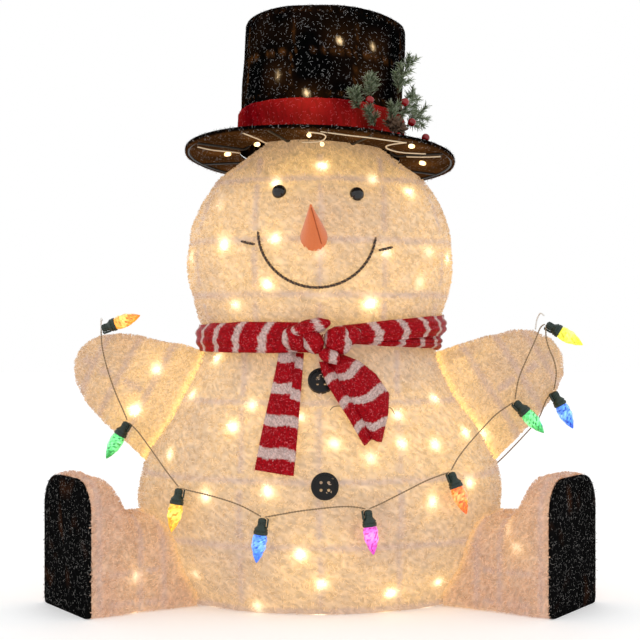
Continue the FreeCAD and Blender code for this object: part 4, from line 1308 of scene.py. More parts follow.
crown_spots = sorted((1000 * (HAT.inverted() @ Vector(led)) for led in hat_leds),
                     key=lambda spot: math.atan2(spot.y, spot.x))
crown_spots = [spot for spot in crown_spots if spot.z > 6]
CROWN_WIRE = [(118 * math.cos(turn), 118 * math.sin(turn), 40 + 28 * math.sin(3 * turn))
              for turn in (0.35 * step - 3.0 for step in range(18))]
brim_wire = joined("brim_wires", [thin_wire(f"brim_wire_{k}", [in_hat(p) for p in points], 0.0011)
                                  for k, points in enumerate(BRIM_WIRES + [CROWN_WIRE])])
cream_glow = solid_finish("wire_cream_lit", colour(0.70, 0.55, 0.36), colour(0.84, 0.70, 0.50),
                          (0.3, 0.45), scale=500.0, bump=0.05, Emission_Strength=0.12)
shine_with(cream_glow, colour(0.9, 0.6, 0.35))
give(brim_wire, cream_glow)


def lamp_finish(name, hot, rim):
    """A lit clear capsule: white-hot in the middle of its length and warm at its ends."""
    material, tree, shader = finish_named(name)
    heat = value_of(tree, "core")
    tree.links.new(blend_colours(tree, "MIX", heat, rim, hot), shader.inputs["Emission Color"])
    mottle = use_effect(tree, fine_mottle, Scale=300.0, Low=colour(0.8, 0.7, 0.5),
                        High=colour(0.9, 0.85, 0.7))
    tree.links.new(mottle["Color"], shader.inputs["Base Color"])
    shader.inputs["Emission Strength"].default_value = 3.0
    shader.inputs["Roughness"].default_value = 0.15
    return material


lamp_clear = lamp_finish("lamp_clear", colour(1.0, 0.86, 0.55), colour(0.9, 0.45, 0.10))
lamps = []
for k, spot in enumerate(BRIM_LAMPS + [tuple(spot) for spot in crown_spots]):
    lamp = ringed(f"brim_lamp_{k}", 12, [(0.0022, 0.0), (0.0030, 0.0012), (0.0033, 0.0040), (0.0031, 0.0075),
                                         (0.0022, 0.0098), (0.0010, 0.0108)])
    close_end(lamp, lambda co: co.z > 0.0107, [(0.0004, 0.0002)])
    close_end(lamp, lambda co: co.z < 0.0001, [(0.0005, 0.0)])
    mark(lamp, "core", np.clip(1 - np.abs(points_of(lamp)[:, 2] - 0.005) / 0.005, 0, 1))
    outwards = HAT.to_3x3() @ Vector((spot[0], spot[1], -40)).normalized()
    lamps.append(put(lamp, Matrix.Translation(in_hat(spot)) @ facing_along(outwards)))
brim_lamps = give(joined("brim_lamps", lamps), lamp_clear)
for piece in (brim_wire, brim_lamps):
    smoothed(piece)
    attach(piece, "hat")
    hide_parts("hat_lights")
print("under the brim:", len(BRIM_LAMPS), "lamps and", len(BRIM_WIRES), "wires")

# %% [markdown]
# ## Pine sprig
# A frosted pine pick is clipped to the band, with berries and a small cone. One needle and one
# cone scale are modelled and repeated along the twigs and round the cone.

# %% needles along the twigs
def spindle(name, length, thick):
    """A needle: a square rod drawn out to a point."""
    clear()
    bpy.ops.mesh.primitive_cone_add(vertices=3, radius1=thick, radius2=thick * 0.25, depth=length,
                                    location=(0, 0, length / 2))
    piece = settle(named(name))
    return taken_apart(piece)


def ends_of(group):
    """The two ends of a long solid."""
    middle = group.mean(0)
    axis = np.linalg.svd(group - middle, full_matrices=False)[2][0]
    along = (group - middle) @ axis
    return middle + axis * along.min(), middle + axis * along.max()


NEEDLE_LONG = 0.0100
NEEDLE_THICK = 0.00075
NEEDLE_EVERY = 0.00034
draw = np.random.default_rng(77)
band_middle = np.array(HAT @ Vector((0, 0, 0.03)))
twigs = []
for group in islands("pine_sprig"):
    low, high = ends_of(group)
    if (high - low) @ HAT_AXIS < 0:
        low, high = high, low
    twigs.append((low, high, 1.0))
    outward = unit((low + high) / 2 - band_middle)
    for share, lean in ((0.12, -0.9), (0.22, 0.9), (0.4, -0.7), (0.5, 0.75), (0.66, -0.6), (0.72, 0.6)):
        foot = low + (high - low) * share
        side = unit(np.cross(high - low, outward)) * lean + outward * draw.uniform(-0.1, 0.55)
        heading = unit(unit(high - low) * 0.8 + side)
        twigs.append((foot, foot + heading * np.linalg.norm(high - low) * draw.uniform(0.34, 0.5), 0.8))
spots, headings = [], []
for low, high, size in twigs:
    length = np.linalg.norm(high - low)
    axis = unit(high - low)
    for _ in range(int(length / NEEDLE_EVERY)):
        along = draw.uniform(0.02, 1.0)
        around = unit(np.cross(axis, draw.standard_normal(3)))
        spots.append(low + axis * length * along)
        headings.append(unit(around * draw.uniform(0.55, 1.0) + axis * draw.uniform(0.5, 1.0)))
needle_shape = spindle("needle", NEEDLE_LONG, NEEDLE_THICK)
needles, _ = strew("sprig_needles", needle_shape, np.array(spots), np.array(headings), 78, sizes=(0.6, 1.15))
mark(needles, "tip", np.tile(needle_shape[0][:, 2] / NEEDLE_LONG, len(spots)))
twig_pieces = [mesh_piece(f"twig_{k}", *strand_arrays(np.linspace(low, high, 6), 0.0011 * size, 6))
               for k, (low, high, size) in enumerate(twigs)]
sprig_twigs = joined("sprig_twigs", twig_pieces)
print(len(spots), "needles on", len(twigs), "twigs")


# %% needle, twig, berry and cone finishes
def needle_finish(name):
    """Dark green needles, some frosted white towards their tips."""
    material, tree, shader = finish_named(name)
    tone = value_of(tree, "tone")
    green = blend_colours(tree, "MIX", tone, colour(0.040, 0.075, 0.018), colour(0.17, 0.22, 0.08))
    frost = arithmetic(tree, "MULTIPLY", value_of(tree, "tip"), arithmetic(tree, "POWER", tone, 1.1), True)
    whole = blend_colours(tree, "MIX", frost, green, colour(0.50, 0.55, 0.42))
    tree.links.new(whole, shader.inputs["Base Color"])
    mottle = use_effect(tree, fine_mottle, Scale=500.0)
    tree.links.new(mottle["Roughness"], shader.inputs["Roughness"])
    return material


needle_green = needle_finish("needle_frosted")
twig_bark = solid_finish("bark_twig", colour(0.05, 0.06, 0.03), colour(0.11, 0.09, 0.05), (0.7, 0.9),
                         scale=600.0, bump=0.4)
berry_red = solid_finish("berry_gloss", colour(0.20, 0.001, 0.003), colour(0.30, 0.003, 0.005),
                         (0.12, 0.22), scale=120.0, bump=0.03, Coat_Weight=0.25, Specular_IOR_Level=0.35)
cone_brown = solid_finish("cone_scales", colour(0.055, 0.028, 0.014), colour(0.17, 0.095, 0.05),
                          (0.55, 0.8), scale=260.0, bump=0.4)
give(needles, needle_green)
give(sprig_twigs, twig_bark)

# %% berries and cone
berries = []
for k, group in enumerate(islands("holly_berries")):
    middle = (group.min(0) + group.max(0)) / 2
    berry = ringed(f"berry_{k}", 20, [(0.0012, -0.0062), (0.0036, -0.0054), (0.0055, -0.0036),
                                      (0.0064, -0.0008), (0.0063, 0.0014), (0.0052, 0.0040),
                                      (0.0034, 0.0056), (0.0016, 0.0060), (0.0008, 0.0056)])
    close_end(berry, lambda co: co.z > 0.0055 and co.xy.length < 0.0009, [(0.0003, -0.0004)])
    close_end(berry, lambda co: co.z < -0.0061, [(0.0004, 0.0)])
    facing = (Vector((0.2, -1, 0.25)) if k % 2 else Vector((-0.3, -1, 0.4))).normalized()
    berries.append(put(berry, Matrix.Translation(middle) @ facing_along(facing)))
berries = give(joined("sprig_berries", berries), berry_red)
cone_low, cone_high = ends_of(np.concatenate(islands("pine_cone")))
cone_axis = unit(cone_high - cone_low)
cone_long = float(np.linalg.norm(cone_high - cone_low))
scale_shape = ribbon("cone_scale", 0.0062, [step_mm(0, 2.4, 1.6), step_mm(0, 2.6, 2.2),
                                            step_mm(0, 1.2, 1.8)], 0.80)
spots, headings = [], []
side = unit(np.cross(cone_axis, (0.3, 0.2, 0.9)))
over = np.cross(cone_axis, side)
CONE_SCALES = 64
GOLDEN_ANGLE = 2.39996
for k in range(CONE_SCALES):
    share = (k + 0.5) / CONE_SCALES
    turn = k * GOLDEN_ANGLE
    radius = 0.0075 * math.sin(math.pi * (0.12 + 0.8 * share)) ** 0.7
    around = math.cos(turn) * side + math.sin(turn) * over
    spots.append(cone_low + cone_axis * cone_long * share + around * radius * 0.55)
    headings.append(unit(around + cone_axis * (0.1 + 0.9 * share)))
cone_scales, _ = strew("sprig_cone", scale_shape, np.array(spots), np.array(headings), 79,
                       sizes=(0.9, 1.1))
add_modifier(cone_scales, "SOLIDIFY", thickness=0.0009, offset=0.0)
give(cone_scales, cone_brown)
for piece, node, slot in ((needles, "pine_sprig", "pine_needle"),
                          (sprig_twigs, "pine_sprig", "pine_needle"),
                          (berries, "holly_berries", "berry_plastic"),
                          (cone_scales, "pine_cone", "cone_wood")):
    smoothed(piece)
    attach(piece, "hat")
    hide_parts(node)
print("sprig done")

# %% [markdown]
# ## Scarf
# The scarf is one striped tinsel strip, tied in front. It is modelled as cloth grids that follow the
# neck and hang down the chest, given thickness, and covered in short strands. The stripes are
# stored on the mesh, measured along the strip, so they bend with every fold.

# %% cloth grids
CHEST_TOP = 0.398
torso_front = BVHTree.FromObject(torso, bpy.context.evaluated_depsgraph_get())


def chest_y(x, z):
    """How far forward the torso's skin stands at a place."""
    hit = torso_front.ray_cast(Vector((x, -1, min(z, CHEST_TOP))), Vector((0, 1, 0)))[0]
    return hit.y if hit else -0.13


def cloth_grid(name, across, along, place, thick, stripe):
    """A grid of cloth. place gives a point for a position across and along, from 0 to 1."""
    clear()
    bpy.ops.mesh.primitive_grid_add(x_subdivisions=across, y_subdivisions=along, size=1.0)
    piece = named(name)
    co = points_of(piece)
    spots = co[:, :2] + 0.5
    move_points(piece, np.array([place(u, v) for u, v in spots]))
    mark(piece, "stripe", [stripe(u, v) for u, v in spots])
    area = sum(face.area for face in piece.data.polygons)
    if thick:
        add_modifier(piece, "SOLIDIFY", thickness=thick, offset=0.0)
    smoothed(piece)
    return piece, area


def striped(along, period, share=0.33, start=0.0):
    """1 on a pale stripe and 0 on red."""
    return 1.0 if ((along - start) / period) % 1.0 < share else 0.0


def edge_line(points):
    """Looks up a point along a polyline given in front-view millimetres."""
    line = np.array(points, float) / 1000
    along = np.concatenate([[0], np.cumsum(np.linalg.norm(np.diff(line, axis=0), axis=1))])
    return lambda v: np.array([np.interp(v * along[-1], along, line[:, k]) for k in range(2)])


LONG_LEFT = edge_line([(-60, 387), (-66, 355), (-76, 310), (-85, 265), (-94, 217)])
LONG_RIGHT = edge_line([(-24, 387), (-27, 345), (-29, 318), (-33, 265), (-38, 210)])
LONG_TAIL = 0.178
STRIPE_PERIOD = 0.0475


def long_place(u, v):
    left, right = LONG_LEFT(v), LONG_RIGHT(v)
    x, z = left + (right - left) * u
    pleat = 0.004 * math.exp(-((u - 0.68) / 0.10) ** 2) * max(0.0, 1 - v * 1.6)
    wave = 0.0012 * math.sin(5 * u + 9 * v)
    off = 0.0105 + 0.002 * math.sin(math.pi * u) + wave - pleat
    return x, chest_y(x, z) - off, z - 0.003 * u * (1 - v)


def long_stripe(u, v):
    shift = 0.008 * (u > 0.66) * (v < 0.42) + 0.0016 * math.sin(7 * u)
    return striped(v * LONG_TAIL + 0.0005 - shift, STRIPE_PERIOD, 0.34)


long_tail, long_area = cloth_grid("scarf_tail_long_cloth", 34, 96, long_place, 0.0035, long_stripe)

SHORT_OUTER = edge_line([(26, 384), (40, 379), (58, 372), (82, 353), (101, 325), (99, 297), (88, 257)])
SHORT_CREASE = edge_line([(12, 374), (20, 362), (29, 341), (43, 319), (57, 298), (66, 280), (74, 262)])
SHORT_INNER = edge_line([(0, 372), (4, 358), (10, 342), (25, 318), (43, 290), (54, 271), (65, 253)])
SHORT_TAIL = 0.155


def short_place(u, v):
    """Across runs from the outer edge over a crease to the inner edge."""
    crease = 0.66
    if u < crease:
        x, z = SHORT_OUTER(v) + (SHORT_CREASE(v) - SHORT_OUTER(v)) * (u / crease)
        off = 0.0145 + 0.009 * math.sin(math.pi * min(u / crease, 1)) + 0.002 * (1 - u / crease)
    else:
        x, z = SHORT_CREASE(v) + (SHORT_INNER(v) - SHORT_CREASE(v)) * ((u - crease) / (1 - crease))
        off = 0.0145 + 0.006 * math.sin(math.pi * (u - crease) / (1 - crease))
    off += 0.0015 * math.sin(11 * v + 3 * u)
    return x, chest_y(x, z) - off, z


def short_stripe(u, v):
    wave = 0.0035 * math.sin(9 * u + 1.0)
    shift = 0.004 if u > 0.66 else 0.0
    return striped(v * SHORT_TAIL + wave + shift, 0.0470, 0.28, start=0.030)


short_tail, short_area = cloth_grid("scarf_tail_short_cloth", 44, 84, short_place, 0.0035, short_stripe)
print("tails", round(long_area * 1e4), round(short_area * 1e4), "cm2")


# %% the part round the neck
NECK_HALF = 0.1875


def neck_point(turn, z, off):
    """A point round the neck, turned from the front, off the scarf's middle line."""
    half = NECK_HALF + off
    depth = NECK_HALF * 0.80 + 0.002 + off
    power = 0.90
    s, c = math.sin(turn), math.cos(turn)
    return (half * math.copysign(abs(s) ** power, s), -depth * math.copysign(abs(c) ** power, c), z)


def neck_band(name, start, end, middle, half, off, seed, along=150, slant=0.35, bulge=0.006):
    """A band of cloth round part of the neck. middle and half are looked up along it."""
    def place(u, v):
        turn = math.radians(start + (end - start) * v)
        s = 2 * u - 1
        wave = 0.0016 * noise.noise(Vector((v * 9, seed, u * 2)))
        z = np.interp(v, *middle) + s * np.interp(v, *half) + 0.5 * wave
        folds = 0.0012 * math.sin(2.6 * math.pi * s + 5 * v + seed)
        return neck_point(turn, z, off + bulge * (1 - s * s) + wave + folds)

    def stripe(u, v):
        along_it = abs(math.radians(start + (end - start) * v)) * NECK_HALF * 0.94
        lean = slant * (2 * u - 1) * np.interp(v, *half) + 0.002 * math.sin(6 * u + seed)
        return striped(along_it + lean, 0.0450, 0.27, start=0.020)
    return cloth_grid(name, 22, along, place, 0.003, stripe)


bands = [
    neck_band("scarf_round_left_cloth", -3, -112, ([0, 0.3, 0.7, 1], [0.408, 0.408, 0.406, 0.406]),
              ([0, 0.3, 0.8, 1], [0.0215, 0.0225, 0.0195, 0.0190]), 0.001, 1.0),
    neck_band("scarf_round_upper_cloth", 5, 112, ([0, 0.25, 0.5, 1], [0.411, 0.419, 0.4245, 0.4275]),
              ([0, 0.25, 0.8, 1], [0.0125, 0.0145, 0.0155, 0.0155]), 0.005, 2.0),
    neck_band("scarf_round_lower_cloth", 12, 112, ([0, 0.2, 0.5, 1], [0.403, 0.401, 0.400, 0.399]),
              ([0, 0.2, 0.6, 1], [0.0030, 0.0060, 0.0105, 0.0140]), 0.000, 3.0, slant=-0.5, bulge=0.004),
    neck_band("scarf_round_back_cloth", 108, 252, ([0, 0.5, 1], [0.411, 0.409, 0.407]),
              ([0, 0.5, 1], [0.0245, 0.0215, 0.0200]), 0.002, 4.0, along=190)]
print("neck cloth", [round(area * 1e4) for _, area in bands], "cm2")

# %% the knot: soft lobes of the same cloth
LOBES = [  # middle, half sizes, turn about the view, stripe start
    ((-14, -168, 423), (31, 14, 12), -14, 0.006), ((-36, -164, 407), (21, 12, 19), 4, 0.016),
    ((-10, -172, 402), (15, 13, 19), -18, 0.019), ((27, -170, 404), (22, 14, 21), 22, 0.010),
    ((43, -166, 412), (18, 12, 14), -8, 0.018), ((14, -178, 381), (17, 10, 10), 24, 0.000)]
knot_parts = []
for k, (middle, half, turn, start) in enumerate(LOBES):
    clear()
    bpy.ops.mesh.primitive_uv_sphere_add(segments=40, ring_count=24, radius=1.0)
    lobe = named(f"knot_lobe_{k}")
    lobe.scale = tuple(h / 1000 for h in half)
    settle(lobe)
    co = points_of(lobe)
    mark(lobe, "stripe", [striped(x + 0.3 * z, 0.040, 0.30, start) for x, _, z in co])
    folds = np.array([noise.noise(Vector((x * 60, y * 25, z * 110)) + Vector((k, 0, 0))) for x, y, z in co])
    move_points(lobe, co + normals_of(lobe) * (0.0022 * folds)[:, None])
    place = Matrix.Translation(metres(middle)) @ Matrix.Rotation(math.radians(turn), 4, "Y")
    knot_parts.append(put(lobe, place))
knot = joined("scarf_knot_cloth", knot_parts)
smoothed(knot)


def plain_marks(points, normals):
    return {"glow": np.zeros(len(points))}


scarf_parts = [(long_tail, "scarf_tail_long", 9500), (short_tail, "scarf_tail_short", 10000),
               (knot, "scarf_knot", 9500)] + [(piece, "scarf_wrap", 9500) for piece, _ in bands]
for k, (piece, node, count) in enumerate(scarf_parts):
    tinselled(piece, count, 600 + 10 * k, scarf_tinsel, "torso", plain_marks,
              sizes=(0.30, 0.62), lie=1.3)
    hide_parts(node)
TIE_WIRES = [[(14.9, 302.4), (18, 307), (24, 308.5), (31.2, 308)],
             [(96, 303), (102, 306), (107, 302), (109.9, 295)]]
TIE_RADIUS = 0.00055


def off_chest(x, z):
    """A place 9 mm in front of the chest, from front-view millimetres."""
    x, z = x / 1000, z / 1000
    return Vector((x, chest_y(x, z) - 0.009, z))


tie_wire = joined("scarf_tie_wires", [thin_wire(f"tie_{k}", [off_chest(x, z) for x, z in points], TIE_RADIUS)
                                      for k, points in enumerate(TIE_WIRES)])
give(tie_wire, smile_dark)
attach(tie_wire, "torso")
print("scarf done")

# %% [markdown]
# ## Face and buttons
# The eyes, nose and buttons keep their measured shapes and get finer finishes. The smile is a rope
# of one dark and one brown strand twisted together, sewn on in an arc with a tick at each end. The
# felt nose has a sewn seam from its tip to its base.

# %% the smile rope
SMILE_CENTRE = (-4.5, 567.0)
SMILE_HALF_WIDTH = 88.0
SMILE_DROP = 85.0
SMILE_ROLL = math.radians(3.0)
ROPE_OFF = 0.0040
head_front = BVHTree.FromObject(head, bpy.context.evaluated_depsgraph_get())


def on_face(x, z, off):
    hit = head_front.ray_cast(Vector((x / 1000, -1, z / 1000)), Vector((0, 1, 0)))[0]
    return Vector((hit.x, hit.y - off, hit.z))


SMILE_FROM, SMILE_SPAN, SMILE_STEPS = 184, 172, 26
smile_points = []
for step in range(SMILE_STEPS + 1):
    turn = math.radians(SMILE_FROM + step * SMILE_SPAN / SMILE_STEPS)
    across, down = SMILE_HALF_WIDTH * math.cos(turn), SMILE_DROP * math.sin(turn)
    x = SMILE_CENTRE[0] + across * math.cos(SMILE_ROLL) + down * math.sin(SMILE_ROLL)
    z = SMILE_CENTRE[1] - across * math.sin(SMILE_ROLL) + down * math.cos(SMILE_ROLL)
    smile_points.append(on_face(x, z, ROPE_OFF))
dimples = [sorted(ends_of(group), key=lambda p: p[0]) for group in islands("smile")
           if np.ptp(group[:, 0]) < 0.05]
rope_lines = [smooth_line("smile_line", smile_points)]
for low, high in dimples:
    sagging = ((low, 0.0), ((low + high) / 2, -0.8), (high, 0.0))
    rope_lines.append(smooth_line("dimple_line", [on_face(p[0] * 1000, p[2] * 1000 + lift, ROPE_OFF)
                                                  for p, lift in sagging]))
ropes = []
for k, line in enumerate(rope_lines):
    rope = wound(f"rope_{k}", line, 2, 0.00125, 0.00118, 0.0088, sides=8)
    rope.data.materials.append(smile_dark)
    rope.data.materials.append(smile_brown)
    whole = len(rope.data.polygons)
    rope.data.polygons.foreach_set("material_index", np.repeat([0, 1], [whole // 2, whole - whole // 2]))
    ropes.append(rope)
smile = joined("smile_rope", ropes)
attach(smile, "head")
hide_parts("smile")
print("smile is", round(1000 * line_length(rope_lines[0])), "mm of rope, with", len(dimples), "ticks")

# %% the nose seam, eyes and buttons
nose_low, nose_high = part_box("nose")
nose_tree = BVHTree.FromObject(nodes["nose"], bpy.context.evaluated_depsgraph_get())
nose_co = points_of(nodes["nose"])
nose_tip = nose_co[np.argmin(nose_co[:, 1])]
nose_foot = np.array([nose_tip[0] - 0.001, nose_high.y, nose_low.z + (nose_high.z - nose_low.z) * 0.30])
seam = []
for step in range(9):
    share = 0.03 + 0.93 * step / 8
    middle = nose_tip + (nose_foot - nose_tip) * share
    outer = Vector(middle + np.array([0.05, -0.035, -0.03]))
    hit, normal = nose_tree.ray_cast(outer, (Vector(middle) - outer).normalized())[:2]
    if hit:
        seam.append(hit + normal * 0.0003)
if len(seam) > 3:
    nose_seam = thin_wire("nose_seam", seam, 0.0007, step=0.002)
    give(nose_seam, seam_thread)
    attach(nose_seam, "head")
give(nodes["nose"], nose_felt)
for name in ("eye_left", "eye_right"):
    give(nodes[name], eye_plastic)
for name in ("coat_button_upper", "coat_button_lower"):
    give(nodes[name], button_plastic)
print("seam points", len(seam))

# %% [markdown]
# ## Garland bulbs
# Each bulb is a faceted, flame-shaped lens in a dark ribbed socket with a clip. The lens is a
# sphere drawn out to a point and twisted, with flat faces, because the real ones are moulded in
# spiral facets. One lens and one socket are modelled and copied to the nine places.

# %% one lens
LENS_START, LENS_LONG, LENS_WIDE = 0.0232, 0.0425, 0.0115
LENS_PROFILE = ([0, 0.06, 0.18, 0.30, 0.45, 0.60, 0.75, 0.88, 0.96, 1.0],
                [0.74, 0.86, 0.97, 1.0, 0.94, 0.80, 0.58, 0.34, 0.17, 0.02])
clear()
bpy.ops.mesh.primitive_uv_sphere_add(segments=18, ring_count=20, radius=1.0)
lens_model = settle(named("lens_model"))
co = points_of(lens_model)
share = np.clip((co[:, 2] + 1) / 2, 0, 1)
turns = np.arctan2(co[:, 1], co[:, 0]) + share * 2.4
radius = LENS_WIDE * np.interp(share, *LENS_PROFILE)
radius *= np.where((share > 0.001) & (share < 0.999), 1.0, 0.0)
ridge = np.abs(np.sin(4.5 * (turns - 4.8 * share))) * np.abs(np.sin(4.5 * (turns + 2.2 * share)))
radius *= 1 - 0.10 * (1 - ridge) * (share > 0.05) * (share < 0.97)
move_points(lens_model, np.stack([radius * np.cos(turns), radius * np.sin(turns),
                                  LENS_START + LENS_LONG * share], 1))
lens_core = np.clip(1.15 - np.abs(share - 0.36) / 0.42, 0, 1)
only(lens_model)
bpy.ops.object.shade_flat()
mark(lens_model, "core", lens_core)
print("lens", len(lens_model.data.polygons), "faces")

# %% one socket
socket_model = ringed("socket_model", 28, [
    (0.0016, 0.0006), (0.0030, 0.0008), (0.0052, 0.0022), (0.0056, 0.0030), (0.0056, 0.0060),
    (0.0060, 0.0064), (0.0060, 0.0076), (0.0056, 0.0080), (0.0056, 0.0112), (0.0062, 0.0120),
    (0.0080, 0.0146), (0.0092, 0.0160), (0.0099, 0.0172), (0.0100, 0.0180), (0.0094, 0.0184),
    (0.0094, 0.0196), (0.0100, 0.0200), (0.0099, 0.0242), (0.0094, 0.0247), (0.0080, 0.0247),
    (0.0074, 0.0225)])
close_end(socket_model, lambda co: co.z < 0.0007, [(0.0005, 0.0)])
close_end(socket_model, lambda co: abs(co.z - 0.0225) < 1e-5, [(0.002, 0.0)])
co = points_of(socket_model)
turns = np.arctan2(co[:, 1], co[:, 0])
ribs = np.where(((co[:, 2] > 0.0028) & (co[:, 2] < 0.0118)) | ((co[:, 2] > 0.0198) & (co[:, 2] < 0.0243)),
                0.00035 * np.sign(np.cos(14 * turns)), 0)
move_points(socket_model, co + np.stack([ribs * np.cos(turns), ribs * np.sin(turns), 0 * ribs], 1))
clear()
bpy.ops.mesh.primitive_cube_add(size=1.0, location=(0.0082, 0, 0.0072))
clip = named("clip_model")
clip.scale = (0.0022, 0.0050, 0.0115)
settle(clip)
pick(clip, "faces", lambda face: face.normal.z > 0.9)
bpy.ops.mesh.extrude_region_move(TRANSFORM_OT_translate={"value": (-0.0012, 0, 0.0030)})
bpy.ops.transform.resize(value=(0.7, 0.7, 1))
leave()
pick(clip, "faces", lambda face: face.normal.z < -0.9)
bpy.ops.mesh.extrude_region_move(TRANSFORM_OT_translate={"value": (-0.0026, 0, -0.0012)})
leave()
add_modifier(clip, "BEVEL", width=0.0005, segments=2)
socket_model = joined("socket_model", [socket_model, clip])
bpy.ops.object.shade_smooth_by_angle(angle=math.radians(35))
print("socket", len(socket_model.data.polygons), "faces")

# %% nine bulbs in their places
LENS_COLOURS = {
    "amber": (colour(0.62, 0.14, 0.002), colour(1.0, 0.42, 0.02)),
    "green": (colour(0.0, 0.20, 0.035), colour(0.10, 0.80, 0.22)),
    "gold": (colour(0.66, 0.24, 0.0), colour(1.0, 0.62, 0.03)),
    "blue": (colour(0.002, 0.035, 0.50), colour(0.05, 0.33, 1.0)),
    "magenta": (colour(0.40, 0.004, 0.30), colour(0.88, 0.10, 0.62)),
    "orange": (colour(0.72, 0.05, 0.0), colour(1.0, 0.24, 0.005)),
    "yellow": (colour(0.55, 0.50, 0.0), colour(0.95, 0.95, 0.04))}
LENS_OF = {1: "amber", 2: "green", 3: "gold", 4: "blue", 5: "magenta", 6: "orange", 7: "green", 8: "yellow",
           9: "blue"}
lens_materials = {name: lens_finish(f"lens_{name}", *pair) for name, pair in LENS_COLOURS.items()}
BULB_BODY = {1: "arm_left", 8: "arm_right"}


def copy_to(model, name, place):
    made = model.copy()
    made.data = model.data.copy()
    made.name = made.data.name = name
    bpy.context.scene.collection.objects.link(made)
    return put(made, place)


spins = np.random.default_rng(9)
for k in PIVOTS:
    heading = Vector(HEADINGS[k]).normalized()
    sideways = Vector((0, -1, 0)).cross(heading).normalized()
    facing = heading.cross(sideways)
    turn = Matrix((sideways, facing, heading)).transposed().to_4x4()
    spin = Matrix.Rotation(math.radians(180 if heading.x > 0 else 0) + spins.uniform(-0.5, 0.5), 4, "Z")
    place = Matrix.Translation(metres(PIVOTS[k])) @ turn @ spin
    lens = copy_to(lens_model, f"bulb_{k}_glass", place)
    facets = np.clip(spins.normal(0.5, 0.30, len(lens.data.polygons)), 0, 1)
    layer = lens.data.attributes.new("facet", "FLOAT", "FACE")
    layer.data.foreach_set("value", facets.astype(np.float32))
    give(lens, lens_materials[LENS_OF[k]])
    socket = give(copy_to(socket_model, f"bulb_{k}_holder", place), socket_plastic)
    body = BULB_BODY.get(k, f"bulb_{k}")
    for piece, node in ((lens, f"bulb_{k}_lens"), (socket, f"bulb_{k}_socket")):
        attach(piece, body)
        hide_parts(node)
for model in (lens_model, socket_model):
    bpy.data.objects.remove(model)
print("nine bulbs hang in their sockets")

# %% [markdown]
# ## Boot soles
# A boot ends in a sole of black tinsel. Its outline is the boot's own arch, extruded, drawn in
# ring by ring to a soft face, and covered in strands like the hat.

# %% soles
def boot_sole(side):
    clear()
    bpy.ops.mesh.primitive_circle_add(vertices=120, radius=1.0)
    piece = named(f"boot_sole_{side}_cloth")
    co = points_of(piece)
    turns = np.arctan2(co[:, 1], co[:, 0])
    reach = reach_at(arch_outline(200, 165), turns) / 1000
    move_points(piece, np.stack([reach * np.cos(turns), reach * np.sin(turns) + 0.100, co[:, 2] + 0.0004], 1))
    only(piece)
    bpy.ops.object.mode_set(mode="EDIT")
    bpy.ops.mesh.select_all(action="SELECT")
    bpy.ops.mesh.edge_face_add()
    for _ in range(3):
        bpy.ops.mesh.extrude_region_move(TRANSFORM_OT_translate={"value": (0, 0, 0.0021)})
    for size in (0.98, 0.95, 0.88, 0.80, 0.70, 0.5):
        bpy.ops.mesh.extrude_region_move(TRANSFORM_OT_translate={"value": (0, 0, 0.0002)})
        bpy.ops.transform.resize(value=(size, size, 1), center_override=(0, 0.095, 0))
    bpy.ops.mesh.poke()
    bpy.ops.mesh.select_all(action="SELECT")
    bpy.ops.mesh.normals_make_consistent(inside=False)
    leave()
    return put(piece, leg_place(side))


def sole_marks(points, normals):
    # Painted warm glow in random patches, for light from inside the boot showing through the sole.
    mottle = np.array([noise.noise(Vector(p) / 0.03) for p in points])
    return {"glow": np.clip(1.5 * mottle - 0.45, 0, 1)}


for k, side in enumerate(("left", "right")):
    sole = boot_sole(side)
    tinselled(sole, 20000, 700 + 10 * k, sole_tinsel, f"leg_{side}", sole_marks,
              keep=lambda p, n: p[:, 2] > 0.002, sizes=(0.40, 0.85), lie=1.7)
    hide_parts(f"boot_sole_{side}")
print("soles done")
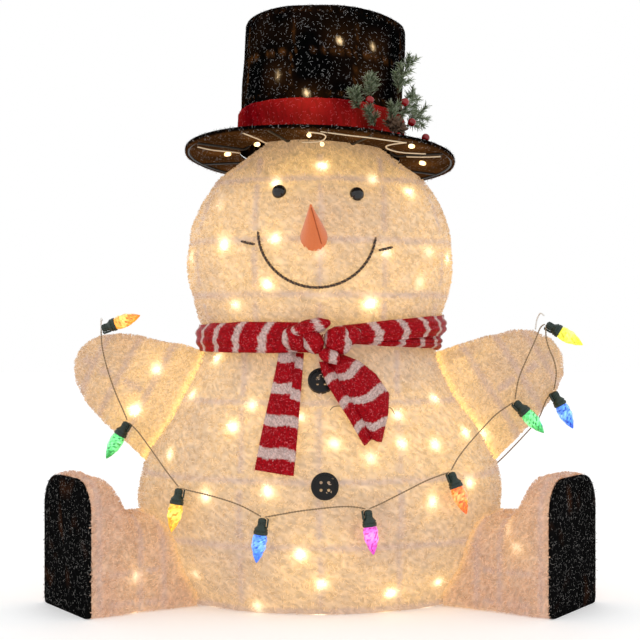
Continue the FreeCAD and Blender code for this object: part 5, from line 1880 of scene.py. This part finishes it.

# %% [markdown]
# ## Measured parts that stay
# The frame wires, light strings, prongs and grommet keep their measured shapes. They get paint,
# clear plastic and rubber finishes.

# %% finishes for the measured parts
# The light strings glow all over: their small lights are lamps, and the glow on the wires between them is
# painted light.
string_clear = solid_finish("string_clear", colour(0.70, 0.60, 0.42), colour(0.84, 0.76, 0.58), (0.15, 0.3),
                            scale=300.0, bump=0.05, Emission_Strength=0.6)
shine_with(string_clear, colour(1, 0.62, 0.22))
hat_paint = solid_finish("paint_hat_frame", colour(0.006, 0.005, 0.005), colour(0.016, 0.014, 0.012),
                         (0.4, 0.6), scale=120.0, bump=0.1)
for name in ("torso_hoops", "torso_uprights", "head_hoops", "head_uprights", "neck_posts", "arm_frame_left",
             "arm_frame_right", "leg_frame_left", "leg_frame_right"):
    give(nodes[name], frame_paint)
give(nodes["hat_frame"], hat_paint)
for name in ("torso_lights", "head_lights"):
    give(nodes[name], string_clear)
give(nodes["lead_grommet"], grommet_rubber)
print("measured parts finished")

# %% [markdown]
# ## Floor and studio light
# A plain pale floor, a bright even surround and two large soft lamps from above show the object
# without hard shadows.

# %% floor and lights
clear()
bpy.ops.mesh.primitive_plane_add(size=16, location=(0, 2, 0))
floor = give(named("floor"), solid_finish("floor_pale", colour(0.90, 0.90, 0.90), colour(0.93, 0.93, 0.93),
                                          (0.6, 0.8), scale=2.0, bump=0.0, Emission_Strength=0.17))
shine_with(floor.active_material, colour(1, 1, 1))
LAMP_SIZE = 1.6
for name, spot, power in (("lamp_left", (-1.6, -2.0, 2.4), 3.0), ("lamp_right", (1.8, -1.6, 2.2), 2.0)):
    bpy.ops.object.light_add(type="AREA", location=spot)
    lamp = bpy.context.object
    lamp.name = name
    lamp.data.energy = power
    lamp.data.size = LAMP_SIZE
    lamp.rotation_euler = (Vector((0, 0, 0.4)) - Vector(spot)).to_track_quat("-Z", "Y").to_euler()
world = bpy.data.worlds.new("studio")
bpy.context.scene.world = world
world.use_nodes = True
world.node_tree.nodes["Background"].inputs["Color"].default_value = (1, 1, 1, 1)
world.node_tree.nodes["Background"].inputs["Strength"].default_value = 1.0
bpy.context.scene.view_settings.view_transform = "Standard"
